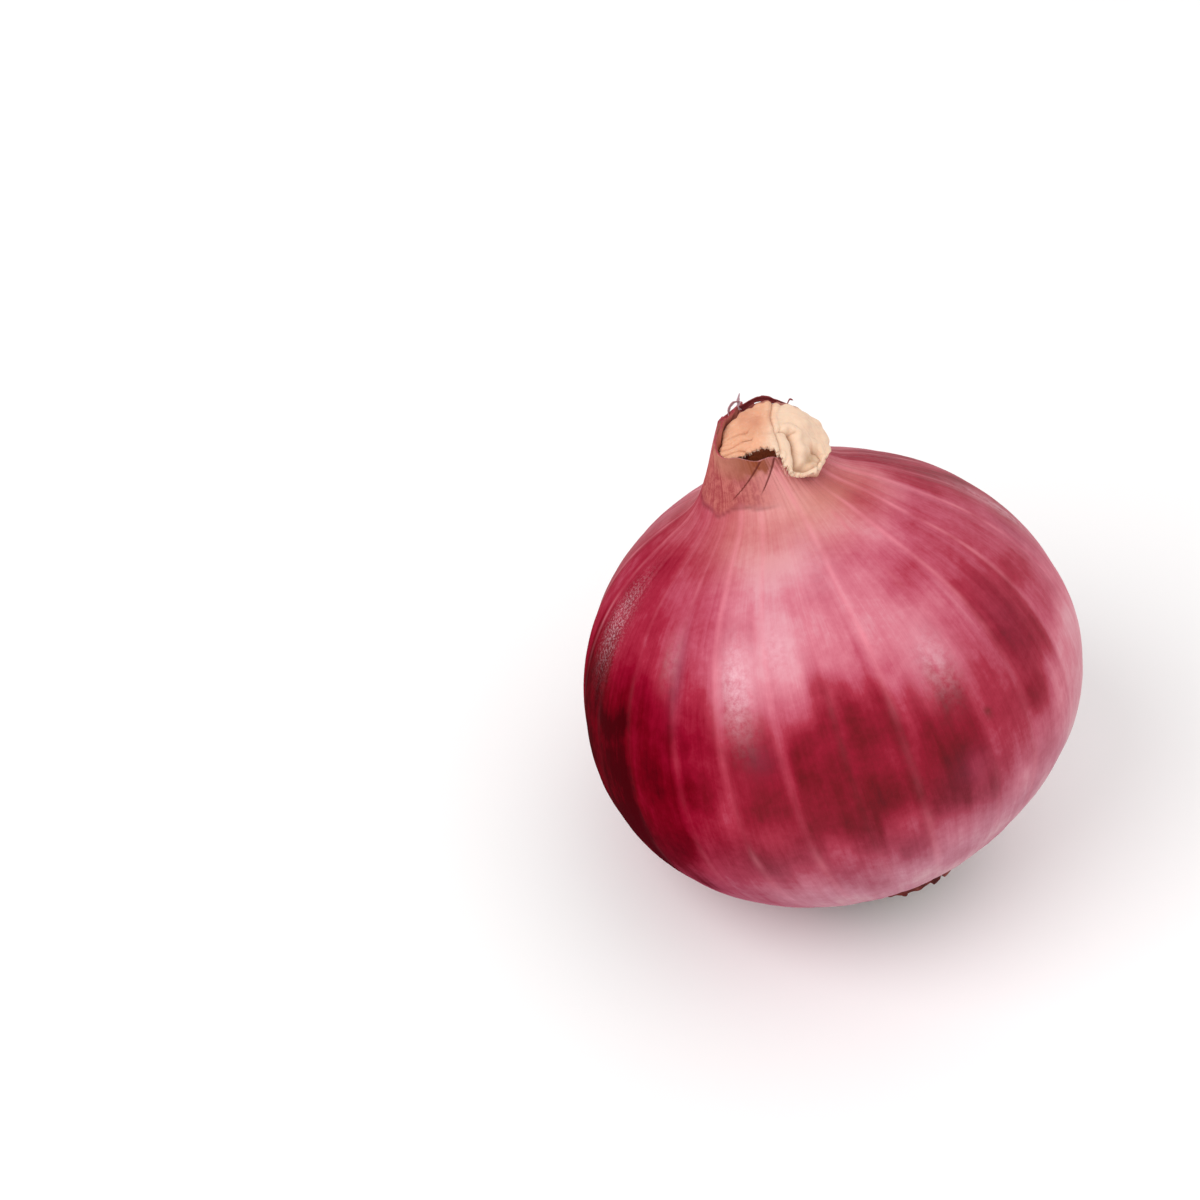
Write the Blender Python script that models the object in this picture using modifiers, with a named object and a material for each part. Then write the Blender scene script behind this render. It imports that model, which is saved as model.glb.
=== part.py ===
"""A whole red onion, dry and leaning as it was set down.

Sizes are in millimetres in the onion's own frame: its centre is on the equator, +Z runs up the
axis to the neck, +X is the side the dry leaf folds over, and -Y is the side with the low rim.
The last step leans it over and sets it on the flat spot it rests on, at the world's origin.
"""
import math
import random

import bmesh
import bpy
from mathutils import Matrix, Vector, noise

MM = 0.001

# Bulb: a globe that is a little flatter at the root end
EQUATOR_RADIUS = 33.0
CROWN_HEIGHT = 31.0
BASE_DEPTH = 26.7
BULB_STEPS = 90
CROWN_ROWS = 16
CROWN_CROWDING = 1.25
BASE_ROWS = 16

# Neck sleeve: the skin drawn up into a short torn cup
NECK_SHIFT = 1.0
NECK_WIDENING = 0.2
COLLAR_REACH = 22.0
COLLAR_BLEND = 16.0
SLEEVE_RADIUS = 5.6
SLEEVE_WALL = 0.7
SLEEVE_RISE = 6.9
SLEEVE_SHIFT = -0.7
FLARE_LENGTH = 1.5
LIP_RISE = 0.1

# Hollow of the sleeve, middle to lip: share of its radius, share of its depth under the rim
HOLLOW_DEPTH = 3.6
HOLLOW_SHAPE = ((0.0, 1.0), (0.5, 0.96), (0.94, 0.6), (1.0, 0.1))

# The sleeve's tall left side, which falls off slowly round the back and soon towards the front
TALL_RISE = 4.2
TALL_LEAN = 1.05
TALL_MIDDLE = math.radians(165.0)
TALL_BACK_SPAN = math.radians(165.0)
TALL_BACK_FADE = math.radians(150.0)
TALL_FRONT_SPAN = math.radians(66.0)
TALL_FRONT_FADE = math.radians(45.0)

# The dip in its rim that the leaf folds down over
DIP_DEPTH = 2.6
DIP_MIDDLE = math.radians(-10.0)
DIP_SPAN = math.radians(75.0)
DIP_FADE = math.radians(40.0)

# Teeth of the torn rim: count, height and phase
TEETH = ((7.0, 0.35, 0.0), (13.0, 0.3, 1.0))

# Ribs: the skin is drawn in along its veins, from the neck to the roots
RIB_COUNT = 11
RIB_DEPTH = 0.22
RIB_PHASE = 0.4
RIB_START = 6.0
RIB_BLEND = 12.0

# Lobes that keep the equator from being a true circle: count, depth and phase
LOBES = ((3.0, 0.12, 0.7), (5.0, 0.06, 2.1))

# Where the globe grew flatter or fuller: heading, height angle and swell
GROWTH_WIDTH = 0.42
GROWTH = (
    (math.radians(42.0), math.radians(52.0), -0.45),
    (math.radians(2.0), math.radians(30.0), -0.5),
    (math.radians(-48.0), math.radians(-38.0), -0.5),
    (math.radians(-150.0), math.radians(-32.0), 0.25),
)

# Dish at the root end, and the root plate in it
DISH_RADIUS = 7.8
DISH_EDGE = 1.6
DISH_DEPTH = 2.1
PLATE_RADIUS = 7.0
PLATE_EDGE = 0.5
PLATE_THICKNESS = 1.6
PLATE_STEPS = 28
PLATE_ROWS = 4

# Trimmed roots, placed by the golden angle with a seeded wobble
ROOT_COUNT = 40
ROOT_RADIUS = 0.62
ROOT_TAPER = 0.72
ROOT_SIDES = 6
ROOT_LENGTHS = (1.8, 3.4)
ROOT_LEAST_LENGTH = 0.2
ROOT_SUNK = 1.0
ROOT_SPLAY = 0.95
ROOT_SCATTER = 0.35
ROOT_WOBBLE = 0.15
ROOT_MARGIN = 0.9
ROOT_SEED = 7
GOLDEN_ANGLE = math.pi * (3.0 - math.sqrt(5.0))
FLOOR_ROOM = 0.85

# Torn edge of the old skin round the root plate: it lies in a shallow step of the bulb
STEP_RADIUS = 12.7
STEP_EDGE = 0.4
STEP_DEPTH = 0.75
STEP_FADE = math.radians(5.0)
RAG_TOP = 12.1
RAG_WIDTH = 3.2
RAG_LEAST_WIDTH = 0.35
RAG_CURL = 0.8
RAG_THICKNESS = 0.6
RAG_PLAY = 0.1
RAG_START = math.radians(-170.0)
RAG_END = math.radians(66.0)
RAG_END_TAPER = math.radians(25.0)
RAG_STEPS = 64
RAG_ROWS = 3
RAG_TEARS = ((5.0, 0.3, 0.5), (13.0, 0.2, 2.0))

# Dry leaf base: front edge, ridge and back edge, from its foot in the neck to the folded tip
LEAF_THICKNESS = 0.8
LEAF_ROWS = 26
LEAF_COLUMNS = 12
LEAF_CRUMPLE = 0.55
LEAF_CRUMPLE_ALONG = 4.6
LEAF_CRUMPLE_ACROSS = 2.9
LEAF_INSIDE = Vector((2.0, -1.5, 36.0))
LEAF_FRONT = (
    (-1.9, -2.6, 35.4), (-2.8, -2.9, 37.6), (-3.2, -3.2, 39.0), (-1.6, -4.3, 38.6), (0.0, -4.8, 38.9),
    (1.6, -5.3, 38.7), (2.4, -6.0, 37.6), (2.9, -6.9, 36.2), (3.6, -7.3, 34.9), (5.8, -6.8, 34.2),
)
LEAF_RIDGE = (
    (-1.6, -1.2, 35.4), (-2.0, -1.4, 37.8), (-1.3, -1.0, 39.6), (0.4, 0.0, 40.7), (2.4, 0.6, 41.1),
    (4.4, 0.8, 40.4), (6.0, 0.8, 39.3), (7.6, 0.0, 37.4), (8.5, -1.0, 34.9), (8.6, -3.0, 33.7),
)
LEAF_BACK = (
    (-0.9, 0.3, 35.6), (-1.2, 0.3, 37.6), (-0.6, 0.5, 39.3), (1.2, 1.6, 39.8), (3.0, 2.2, 39.8),
    (5.0, 2.3, 39.0), (6.6, 2.0, 37.6), (8.0, 1.0, 35.6), (8.8, -0.8, 34.0), (8.8, -2.6, 33.4),
)

# Neighbouring pieces keep this gap
GAP = 0.3

# Points of a turned profile closer than this are one
MERGE = 0.02

# How far it leans, which way, and how deep the flat spot it rests on is cut
LEAN = math.radians(23.5)
LEAN_HEADING = math.radians(140.5)
TURN = math.radians(12.4)
FLAT_DEPTH = 0.9
FLOOR_BLOCK = 100.0


def clear_scene():
    for thing in list(bpy.context.scene.objects):
        bpy.data.objects.remove(thing, do_unlink=True)


def new_collection(name, hidden=False):
    collection = bpy.data.collections.new(name)
    bpy.context.scene.collection.children.link(collection)
    collection.hide_render = hidden
    return collection


def material(name, colour, roughness):
    made = bpy.data.materials.new(name)
    made.use_nodes = True
    surface = made.node_tree.nodes["Principled BSDF"]
    surface.inputs["Base Color"].default_value = (*colour, 1.0)
    surface.inputs["Roughness"].default_value = roughness
    surface.inputs["Metallic"].default_value = 0.0
    return made


def add_object(name, mesh, collection):
    thing = bpy.data.objects.new(name, mesh)
    collection.objects.link(thing)
    return thing


def evaluated_mesh(thing):
    """The mesh with its modifiers applied."""
    bpy.context.view_layer.update()
    graph = bpy.context.evaluated_depsgraph_get()
    return bpy.data.meshes.new_from_object(thing.evaluated_get(graph), depsgraph=graph)


def turned_mesh(name, points, steps, parts):
    """A half outline of (radius, height) points, turned round the axis."""
    outline = bpy.data.meshes.new(name)
    outline.from_pydata([(MM * radius, 0.0, MM * height) for radius, height in points],
                        [(k, k + 1) for k in range(len(points) - 1)], [])
    turned = add_object(name + "_turned", outline, parts)
    screw = turned.modifiers.new("turn", 'SCREW')
    screw.steps = steps
    screw.render_steps = steps
    screw.use_merge_vertices = True
    screw.merge_threshold = MM * MERGE
    mesh = evaluated_mesh(turned)
    bpy.data.objects.remove(turned, do_unlink=True)
    return mesh


def smooth_step(value):
    value = min(max(value, 0.0), 1.0)
    return value * value * (3.0 - 2.0 * value)


def waves(terms, heading):
    """Sum of sine waves round the axis, each with a count, a depth and a phase."""
    return sum(depth * math.sin(count * heading + phase) for count, depth, phase in terms)


def heading_apart(heading, middle):
    """Angle between two headings, from 0 to half a turn."""
    return abs((heading - middle + math.pi) % math.tau - math.pi)


# The shape of the bulb

def crown_height(radius):
    """Height of the outer skin over the equator at this distance from the axis."""
    dome = CROWN_HEIGHT * math.sqrt(1.0 - (radius / EQUATOR_RADIUS) ** 2)
    return dome + SLEEVE_RISE * math.exp(-(radius - SLEEVE_RADIUS) / FLARE_LENGTH)


def bowl_depth(radius):
    """Depth of the globe under the equator."""
    return BASE_DEPTH * math.sqrt(1.0 - (radius / EQUATOR_RADIUS) ** 2)


def base_depth(radius):
    """Depth of the skin under the equator, with the dish that holds the root plate."""
    dish = smooth_step((DISH_RADIUS + DISH_EDGE - radius) / DISH_EDGE)
    return bowl_depth(radius) - DISH_DEPTH * dish


def bulb_profile():
    """Half outline of the bulb from the hollow in the neck, over the rim and down to the roots."""
    rim = crown_height(SLEEVE_RADIUS)
    inner = SLEEVE_RADIUS - SLEEVE_WALL
    points = [(inner * out, rim - HOLLOW_DEPTH * down) for out, down in HOLLOW_SHAPE]
    points.append((0.5 * (inner + SLEEVE_RADIUS), rim + LIP_RISE))
    for row in range(CROWN_ROWS):
        angle = 0.5 * math.pi * (row / CROWN_ROWS) ** CROWN_CROWDING
        radius = SLEEVE_RADIUS + (EQUATOR_RADIUS - SLEEVE_RADIUS) * math.sin(angle)
        points.append((radius, crown_height(radius)))
    radii = []
    for row in range(BASE_ROWS):
        radius = EQUATOR_RADIUS * math.cos(0.5 * math.pi * row / BASE_ROWS)
        if radius > STEP_RADIUS + STEP_EDGE:
            radii.append(radius)
    dish_top = DISH_RADIUS + DISH_EDGE
    radii += [STEP_RADIUS, STEP_RADIUS - STEP_EDGE, 0.5 * (STEP_RADIUS + dish_top), dish_top]
    radii += [DISH_RADIUS + 0.5 * DISH_EDGE, DISH_RADIUS, 0.5 * DISH_RADIUS, 0.0]
    return points + [(radius, -base_depth(radius)) for radius in radii]


def tall_share(heading):
    """How much of the sleeve's tall side stands at this heading, from 0 to 1."""
    turned = (heading - TALL_MIDDLE + math.pi) % math.tau - math.pi
    if turned > 0.0:
        return smooth_step((TALL_FRONT_SPAN - turned) / TALL_FRONT_FADE)
    return smooth_step((TALL_BACK_SPAN + turned) / TALL_BACK_FADE)


def dip_share(heading):
    """How much of the rim's dip is at this heading, from 0 to 1."""
    return smooth_step((DIP_SPAN - heading_apart(heading, DIP_MIDDLE)) / DIP_FADE)


def step_share(radius, heading):
    """Where the bulb steps back under the torn skin, from 0 to 1."""
    apart = heading_apart(heading, 0.5 * (RAG_START + RAG_END))
    beside = smooth_step((0.5 * (RAG_END - RAG_START) + 1.5 * STEP_FADE - apart) / STEP_FADE)
    outer = smooth_step((STEP_RADIUS - radius) / STEP_EDGE)
    return beside * outer * smooth_step((radius - DISH_RADIUS) / DISH_EDGE)


def growth(point):
    """How far the skin stands out or in here, from the spots where the globe grew unevenly."""
    way = Vector(point).normalized()
    total = 0.0
    for heading, height, swell in GROWTH:
        level = math.cos(height)
        spot = Vector((level * math.cos(heading), level * math.sin(heading), math.sin(height)))
        total += swell * math.exp(-((way - spot).length / GROWTH_WIDTH) ** 2)
    return total


def shape_skin(point):
    """Moves a point of the turned bulb to the grown shape: ribs, lobes, neck and torn sleeve."""
    x, y, z = point
    radius = math.hypot(x, y)
    heading = math.atan2(y, x)
    body = smooth_step((radius - RIB_START) / RIB_BLEND)
    ribs = RIB_DEPTH * math.sqrt(abs(math.sin(0.5 * RIB_COUNT * heading + RIB_PHASE)))
    swell = 1.0 + body * (ribs + waves(LOBES, heading)) / EQUATOR_RADIUS
    spread = 1.0 + body * growth(point) / EQUATOR_RADIUS
    x *= swell * spread
    y *= swell * spread
    z *= spread
    if z > 0.0:
        neck = math.exp(-max(radius - SLEEVE_RADIUS, 0.0) / FLARE_LENGTH)
        top = 1.0
        if radius < SLEEVE_RADIUS:
            top = smooth_step((z - crown_height(SLEEVE_RADIUS) + HOLLOW_DEPTH) / HOLLOW_DEPTH)
        rise = neck * top * tall_share(heading) * (TALL_RISE + waves(TEETH, heading))
        collar = smooth_step((COLLAR_REACH - radius) / COLLAR_BLEND)
        x += x * NECK_WIDENING * collar ** 2 + NECK_SHIFT * collar
        x += SLEEVE_SHIFT * neck + TALL_LEAN * rise ** 2 / TALL_RISE
        z += rise - DIP_DEPTH * neck * top * dip_share(heading)
    else:
        z += STEP_DEPTH * step_share(radius, heading)
    return Vector((x, y, z))


def make_bulb(parts, cutters, pose):
    skin = turned_mesh("bulb", bulb_profile(), BULB_STEPS, parts)
    for vertex in skin.vertices:
        vertex.co = pose @ (MM * shape_skin(vertex.co / MM))
    bulb = add_object("bulb", skin, parts)

    floor = bpy.data.meshes.new("floor_block")
    size = MM * FLOOR_BLOCK
    block = bmesh.new()
    bmesh.ops.create_cube(block, size=size, matrix=Matrix.Translation((0.0, 0.0, -0.5 * size)))
    block.to_mesh(floor)
    block.free()
    below = add_object("floor_block", floor, cutters)
    below.display_type = 'WIRE'
    below.hide_render = True
    cut = bulb.modifiers.new("flat_spot", 'BOOLEAN')
    cut.operation = 'DIFFERENCE'
    cut.solver = 'EXACT'
    cut.object = below
    return bulb


def thick_sheet(name, rows, thickness, parts):
    """A sheet through rows of points, each square split alike, then given its thickness."""
    sheet = bmesh.new()
    grid = [[sheet.verts.new(point) for point in row] for row in rows]
    for above, below in zip(grid, grid[1:]):
        for k in range(len(above) - 1):
            sheet.faces.new((above[k], above[k + 1], below[k + 1]))
            sheet.faces.new((above[k], below[k + 1], below[k]))
    mesh = bpy.data.meshes.new(name)
    sheet.to_mesh(mesh)
    sheet.free()
    thing = add_object(name, mesh, parts)
    thick = thing.modifiers.new("thickness", 'SOLIDIFY')
    thick.thickness = MM * thickness
    thick.offset = 0.0
    thick.use_even_offset = False
    return thing


# The dry leaf base

def leaf_curve(points, share):
    """Point on a smooth curve through the given points, share running from 0 to 1."""
    spot = share * (len(points) - 1)
    index = min(int(spot), len(points) - 2)
    part = spot - index
    before = Vector(points[max(index - 1, 0)])
    start = Vector(points[index])
    end = Vector(points[index + 1])
    after = Vector(points[min(index + 2, len(points) - 1)])
    bend = 2.0 * before - 5.0 * start + 4.0 * end - after
    twist = 3.0 * start - before - 3.0 * end + after
    return start + 0.5 * ((end - before) * part + bend * part ** 2 + twist * part ** 3)


def leaf_point(along, across):
    """Point of the leaf's middle surface: an arch from the front edge over the ridge to the back."""
    front = leaf_curve(LEAF_FRONT, along)
    ridge = leaf_curve(LEAF_RIDGE, along)
    back = leaf_curve(LEAF_BACK, along)
    handle = 2.0 * ridge - 0.5 * (front + back)
    other = 1.0 - across
    point = front * other ** 2 + handle * 2.0 * across * other + back * across ** 2
    spot = Vector((LEAF_CRUMPLE_ALONG * along, LEAF_CRUMPLE_ACROSS * across, 1.0))
    return point + LEAF_CRUMPLE * noise.noise(spot) * (ridge - LEAF_INSIDE).normalized()


def make_leaf(parts, pose):
    rows = []
    for row in range(LEAF_ROWS + 1):
        along = row / LEAF_ROWS
        points = [leaf_point(along, k / LEAF_COLUMNS) for k in range(LEAF_COLUMNS + 1)]
        rows.append([pose @ (MM * point) for point in points])
    return thick_sheet("neck_leaf", rows, LEAF_THICKNESS, parts)


# The root end

def plate_depth(radius):
    """Depth under the equator of the root plate's domed underside."""
    dome = (PLATE_THICKNESS - PLATE_EDGE) * math.sqrt(max(1.0 - (radius / PLATE_RADIUS) ** 2, 0.0))
    return base_depth(0.0) + GAP + PLATE_EDGE + dome


def trimmed_length(foot, way, length, pose):
    """The root's length, cut back until it clears the surface the onion rests on."""
    while length > ROOT_LEAST_LENGTH and (pose @ (MM * (foot + way * length))).z < MM * FLOOR_ROOM:
        length -= 0.1
    return length


def make_root(draw, index, pose, repeats):
    share = math.sqrt((index + 0.5) / ROOT_COUNT)
    heading = index * GOLDEN_ANGLE + draw.uniform(-ROOT_WOBBLE, ROOT_WOBBLE)
    radius = (PLATE_RADIUS - ROOT_MARGIN) * share
    foot = Vector((radius * math.cos(heading), radius * math.sin(heading), -plate_depth(radius)))
    out = ROOT_SPLAY * share
    way = Vector((math.cos(heading) * out + draw.uniform(-ROOT_SCATTER, ROOT_SCATTER),
                  math.sin(heading) * out + draw.uniform(-ROOT_SCATTER, ROOT_SCATTER),
                  -1.0)).normalized()
    length = trimmed_length(foot, way, draw.uniform(*ROOT_LENGTHS), pose)
    turn = way.to_track_quat('Z', 'Y').to_matrix().to_4x4()
    place = Matrix.Translation(foot + way * (0.5 * (length - ROOT_SUNK))) @ turn
    root = bmesh.new()
    bmesh.ops.create_cone(root, cap_ends=True, segments=ROOT_SIDES, radius1=ROOT_RADIUS,
                          radius2=ROOT_TAPER * ROOT_RADIUS, depth=length + ROOT_SUNK, matrix=place)
    for vertex in root.verts:
        vertex.co = pose @ (MM * vertex.co)
    mesh = bpy.data.meshes.new("root_stub")
    root.to_mesh(mesh)
    root.free()
    add_object("root_stub", mesh, repeats)


def make_roots(parts, pose):
    """The root plate with its trimmed roots: joined into one body."""
    top = -base_depth(0.0) - GAP
    profile = [(0.0, top), (PLATE_RADIUS - PLATE_EDGE, top), (PLATE_RADIUS, top - 0.5 * PLATE_EDGE)]
    for row in range(PLATE_ROWS + 1):
        radius = PLATE_RADIUS * math.cos(0.5 * math.pi * row / PLATE_ROWS)
        profile.append((radius, -plate_depth(radius)))
    plate = turned_mesh("root_tuft", profile, PLATE_STEPS, parts)
    for vertex in plate.vertices:
        vertex.co = pose @ vertex.co
    tuft = add_object("root_tuft", plate, parts)

    repeats = new_collection("root_pieces", hidden=True)
    draw = random.Random(ROOT_SEED)
    for index in range(ROOT_COUNT):
        make_root(draw, index, pose, repeats)
    join = tuft.modifiers.new("join", 'BOOLEAN')
    join.operation = 'UNION'
    join.solver = 'EXACT'
    join.operand_type = 'COLLECTION'
    join.collection = repeats
    joined = evaluated_mesh(tuft)
    tuft.modifiers.clear()
    tuft.data = joined
    for stub in list(repeats.objects):
        bpy.data.objects.remove(stub, do_unlink=True)
    bpy.data.collections.remove(repeats)
    return tuft


def rag_point(heading, share):
    """Point of the torn skin: it lies in the bulb's step and curls out over the root plate."""
    apart = heading_apart(heading, 0.5 * (RAG_START + RAG_END))
    ends = smooth_step((0.5 * (RAG_END - RAG_START) - apart) / RAG_END_TAPER)
    tear = ends * (0.5 + waves(RAG_TEARS, heading))
    radius = RAG_TOP - share * RAG_WIDTH * (RAG_LEAST_WIDTH + (1.0 - RAG_LEAST_WIDTH) * tear)
    under = (radius * math.cos(heading), radius * math.sin(heading), -bowl_depth(radius))
    skin = shape_skin(under)
    normal = Vector((skin.x, skin.y, skin.z * (EQUATOR_RADIUS / BASE_DEPTH) ** 2)).normalized()
    lift = GAP + RAG_PLAY + 0.5 * RAG_THICKNESS + RAG_CURL * share ** 2 * tear
    return skin + lift * normal


def make_rags(parts, pose):
    rows = []
    for row in range(RAG_ROWS, -1, -1):
        rows.append([])
        for step in range(RAG_STEPS + 1):
            heading = RAG_START + (RAG_END - RAG_START) * step / RAG_STEPS
            rows[-1].append(pose @ (MM * rag_point(heading, row / RAG_ROWS)))
    return thick_sheet("root_skin", rows, RAG_THICKNESS, parts)


def resting_pose():
    """Places the onion's own frame in the world: leaning, with the flat spot's middle at the origin."""
    axis = Vector((-math.sin(LEAN_HEADING), math.cos(LEAN_HEADING), 0.0))
    turn = Matrix.Rotation(LEAN, 4, axis) @ Matrix.Rotation(TURN, 4, 'Z')
    reach = math.hypot(EQUATOR_RADIUS * math.sin(LEAN), BASE_DEPTH * math.cos(LEAN))
    offset = (EQUATOR_RADIUS ** 2 - BASE_DEPTH ** 2) * math.sin(LEAN) * math.cos(LEAN) / reach
    centre = Vector((-offset * math.cos(LEAN_HEADING), -offset * math.sin(LEAN_HEADING),
                     reach - FLAT_DEPTH))
    return Matrix.Translation(MM * centre) @ turn


def main():
    clear_scene()
    parts = new_collection("red_onion")
    cutters = new_collection("cutters", hidden=True)
    pose = resting_pose()
    bulb = make_bulb(parts, cutters, pose)
    bulb.data.materials.append(material("onion_skin", (0.42, 0.02, 0.07), 0.42))
    leaf = make_leaf(parts, pose)
    leaf.data.materials.append(material("dry_leaf", (0.80, 0.56, 0.33), 0.75))
    roots = make_roots(parts, pose)
    roots.data.materials.append(material("dry_roots", (0.38, 0.25, 0.15), 0.85))
    rags = make_rags(parts, pose)
    rags.data.materials.append(material("torn_skin", (0.20, 0.03, 0.03), 0.65))
    for thing in parts.objects:
        thing.data.shade_smooth()


main()
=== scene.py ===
import math
import random

import bpy
import numpy as np
from mathutils import Matrix, Vector, noise


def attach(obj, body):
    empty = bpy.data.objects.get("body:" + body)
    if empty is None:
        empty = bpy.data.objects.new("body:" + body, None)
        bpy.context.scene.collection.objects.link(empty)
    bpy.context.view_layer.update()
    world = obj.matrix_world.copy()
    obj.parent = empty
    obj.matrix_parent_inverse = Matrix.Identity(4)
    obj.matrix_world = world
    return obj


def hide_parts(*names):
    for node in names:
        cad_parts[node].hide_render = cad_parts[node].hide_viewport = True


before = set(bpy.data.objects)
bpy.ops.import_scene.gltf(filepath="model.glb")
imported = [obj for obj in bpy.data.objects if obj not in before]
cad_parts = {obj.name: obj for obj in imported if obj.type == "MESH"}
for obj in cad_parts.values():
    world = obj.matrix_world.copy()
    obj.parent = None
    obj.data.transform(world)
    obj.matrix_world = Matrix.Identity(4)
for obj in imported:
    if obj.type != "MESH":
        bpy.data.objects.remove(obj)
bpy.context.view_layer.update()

# The bulb: one grown body of fleshy layers under a dry papery skin, which is drawn up at the neck
# into a short torn cup. It leans on a small flat spot. The skin is crimson where it lies thick, and
# pale along its veins and towards the roots.

# Sizes are millimetres in the onion's own frame, with its centre on the equator, +Z up the axis to
# the neck and -Y on the side with the low rim.
MM = 0.001
EQUATOR_RADIUS = 33.0
CROWN_HEIGHT = 31.0
BASE_DEPTH = 26.7
COLUMNS = 560
CROWN_ROWS = 96
CROWN_CROWDING = 1.6
BASE_ROWS = 42
HOLLOW_ROWS = 18
FINE_STEPS = 4000

# The neck: a collar that rises into a hollow sleeve with a torn rim, tall on its left side
NECK_SHIFT = 1.0
NECK_WIDENING = 0.2
COLLAR_REACH = 22.0
COLLAR_BLEND = 16.0
SLEEVE_RADIUS = 5.6
SLEEVE_WALL = 0.7
RIM_WALL = 0.22
SLEEVE_RISE = 6.9
SLEEVE_SHIFT = -0.7
FLARE_LENGTH = 1.5
LIP_RISE = 0.06
HOLLOW_DEPTH = 3.6
HOLLOW_SQUARENESS = 12.0
HOLLOW_START = 0.04
HOLLOW_CROWDING = 0.7
TALL_RISE = 4.2
TALL_LEAN = 1.05
TALL_MIDDLE = math.radians(165.0)
TALL_BACK_SPAN = math.radians(165.0)
TALL_BACK_FADE = math.radians(150.0)
TALL_FRONT_SPAN = math.radians(66.0)
TALL_FRONT_FADE = math.radians(45.0)
DIP_DEPTH = 2.6
DIP_MIDDLE = math.radians(-10.0)
DIP_SPAN = math.radians(75.0)
DIP_FADE = math.radians(40.0)

# Teeth of the torn rim: count, height and phase
TEETH = ((7.0, 0.35, 0.0), (13.0, 0.3, 1.0), (29.0, 0.14, 0.6), (61.0, 0.1, 2.2), (97.0, 0.06, 0.3))
TOOTH_CUT = 1.3
TOOTH_HEADING = math.radians(128.0)
TOOTH_SPAN = math.radians(26.0)
FRONT_RISE = 1.25
FRONT_MIDDLE = math.radians(-142.0)
FRONT_SPAN = math.radians(48.0)
FRONT_FADE = math.radians(26.0)

# Ribs between the veins, and lobes of the equator: count, depth and phase
RIB_DEPTH = 0.22
RIB_START = 6.0
RIB_BLEND = 12.0
LOBES = ((3.0, 0.12, 0.7), (5.0, 0.06, 2.1))

# Where the globe grew flatter or fuller: heading, height angle and swell
GROWTH_WIDTH = 0.42
GROWTH = (
    (math.radians(42.0), math.radians(52.0), -0.45),
    (math.radians(2.0), math.radians(30.0), -0.5),
    (math.radians(-48.0), math.radians(-38.0), -0.5),
    (math.radians(-150.0), math.radians(-32.0), 0.25),
)

# The root end: a dish for the root plate, a step under the torn skin, and how the bulb leans
DISH_RADIUS = 7.8
DISH_EDGE = 1.6
DISH_DEPTH = 2.1
DISH_ROWS = 7
STEP_RADIUS = 12.7
STEP_EDGE = 0.4
STEP_ROWS = 4
STEP_DEPTH = 0.75
STEP_FADE = math.radians(5.0)
RAG_START = math.radians(-170.0)
RAG_END = math.radians(66.0)
LEAN = math.radians(23.5)
LEAN_HEADING = math.radians(140.5)
TURN = math.radians(12.4)
FLAT_DEPTH = 0.9

# Veins run from neck to roots. Each has its place round the bulb, in degrees from +X towards -Y,
# and its strength; the far side's are spaced by a seeded draw.
VEINS = [(0.0, 0.3), (16.0, 0.6), (34.0, 0.7), (52.0, 0.6), (64.0, 0.2), (82.0, 0.8), (95.0, 0.15),
         (109.0, 0.55), (124.0, 0.55), (138.0, 0.22), (155.0, 0.12), (171.0, 0.1)]
FAR_VEIN_GAPS = (14.0, 20.0)
FAR_VEIN_STRENGTHS = (0.25, 0.7)
LAST_VEIN = 335.0
far_draw = random.Random(3)
while VEINS[-1][0] < LAST_VEIN:
    gap = far_draw.uniform(*FAR_VEIN_GAPS)
    VEINS.append((VEINS[-1][0] + gap, far_draw.uniform(*FAR_VEIN_STRENGTHS)))
VEIN_WIDTH = 0.34
VEIN_SWAY = math.radians(1.3)

# Between two veins the skin is often one depth of crimson: from, to, top, bottom and depth. The darkest
# bands, on the left flank, are partly painted shade.
BANDS = [(-28.0, 1.0, 72.0, 45.0, 0.80), (1.0, 15.0, 66.0, 47.0, 0.70), (16.0, 33.0, 46.0, 16.0, 0.52),
         (34.0, 51.0, 36.0, 2.0, 0.80), (51.0, 64.0, 23.0, -6.0, 0.62), (64.0, 81.0, 21.0, -3.0, 0.92),
         (81.0, 95.0, 31.0, -9.0, 0.94), (94.0, 109.0, 31.0, -9.0, 0.92),
         (110.0, 124.0, 27.0, -3.0, 0.88), (125.0, 137.0, 32.0, 1.0, 0.86),
         (138.0, 156.0, 33.0, -14.0, 1.02), (154.0, 171.0, 34.0, -24.0, 1.2),
         (169.0, 189.0, 38.0, -24.0, 1.15), (188.0, 204.0, 34.0, -18.0, 0.92)]
BAND_SIDE_FADE = 4.0
BAND_END_FADE = 24.0
FAR_SIDE_START = 190.0
FAR_BAND_LIMITS = ((22.0, 44.0), (-16.0, 0.0), (0.6, 1.0))
for (start, _), (end, _) in zip(VEINS, VEINS[1:]):
    if start >= FAR_SIDE_START:
        BANDS.append((start, end, *[far_draw.uniform(*limits) for limits in FAR_BAND_LIMITS]))


def smooth_step(value):
    value = np.clip(value, 0.0, 1.0)
    return value * value * (3.0 - 2.0 * value)


def bump(value, middle, width):
    """A smooth hump, 1 at its middle."""
    return np.exp(-((value - middle) / width) ** 2)


def apart(heading, middle):
    """Angle between two headings, from 0 to half a turn."""
    return np.abs((heading - middle + math.pi) % math.tau - math.pi)


def waves(terms, heading):
    """Sum of sine waves round the axis, each with a count, a depth and a phase."""
    return sum(depth * np.sin(count * heading + phase) for count, depth, phase in terms)


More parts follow.
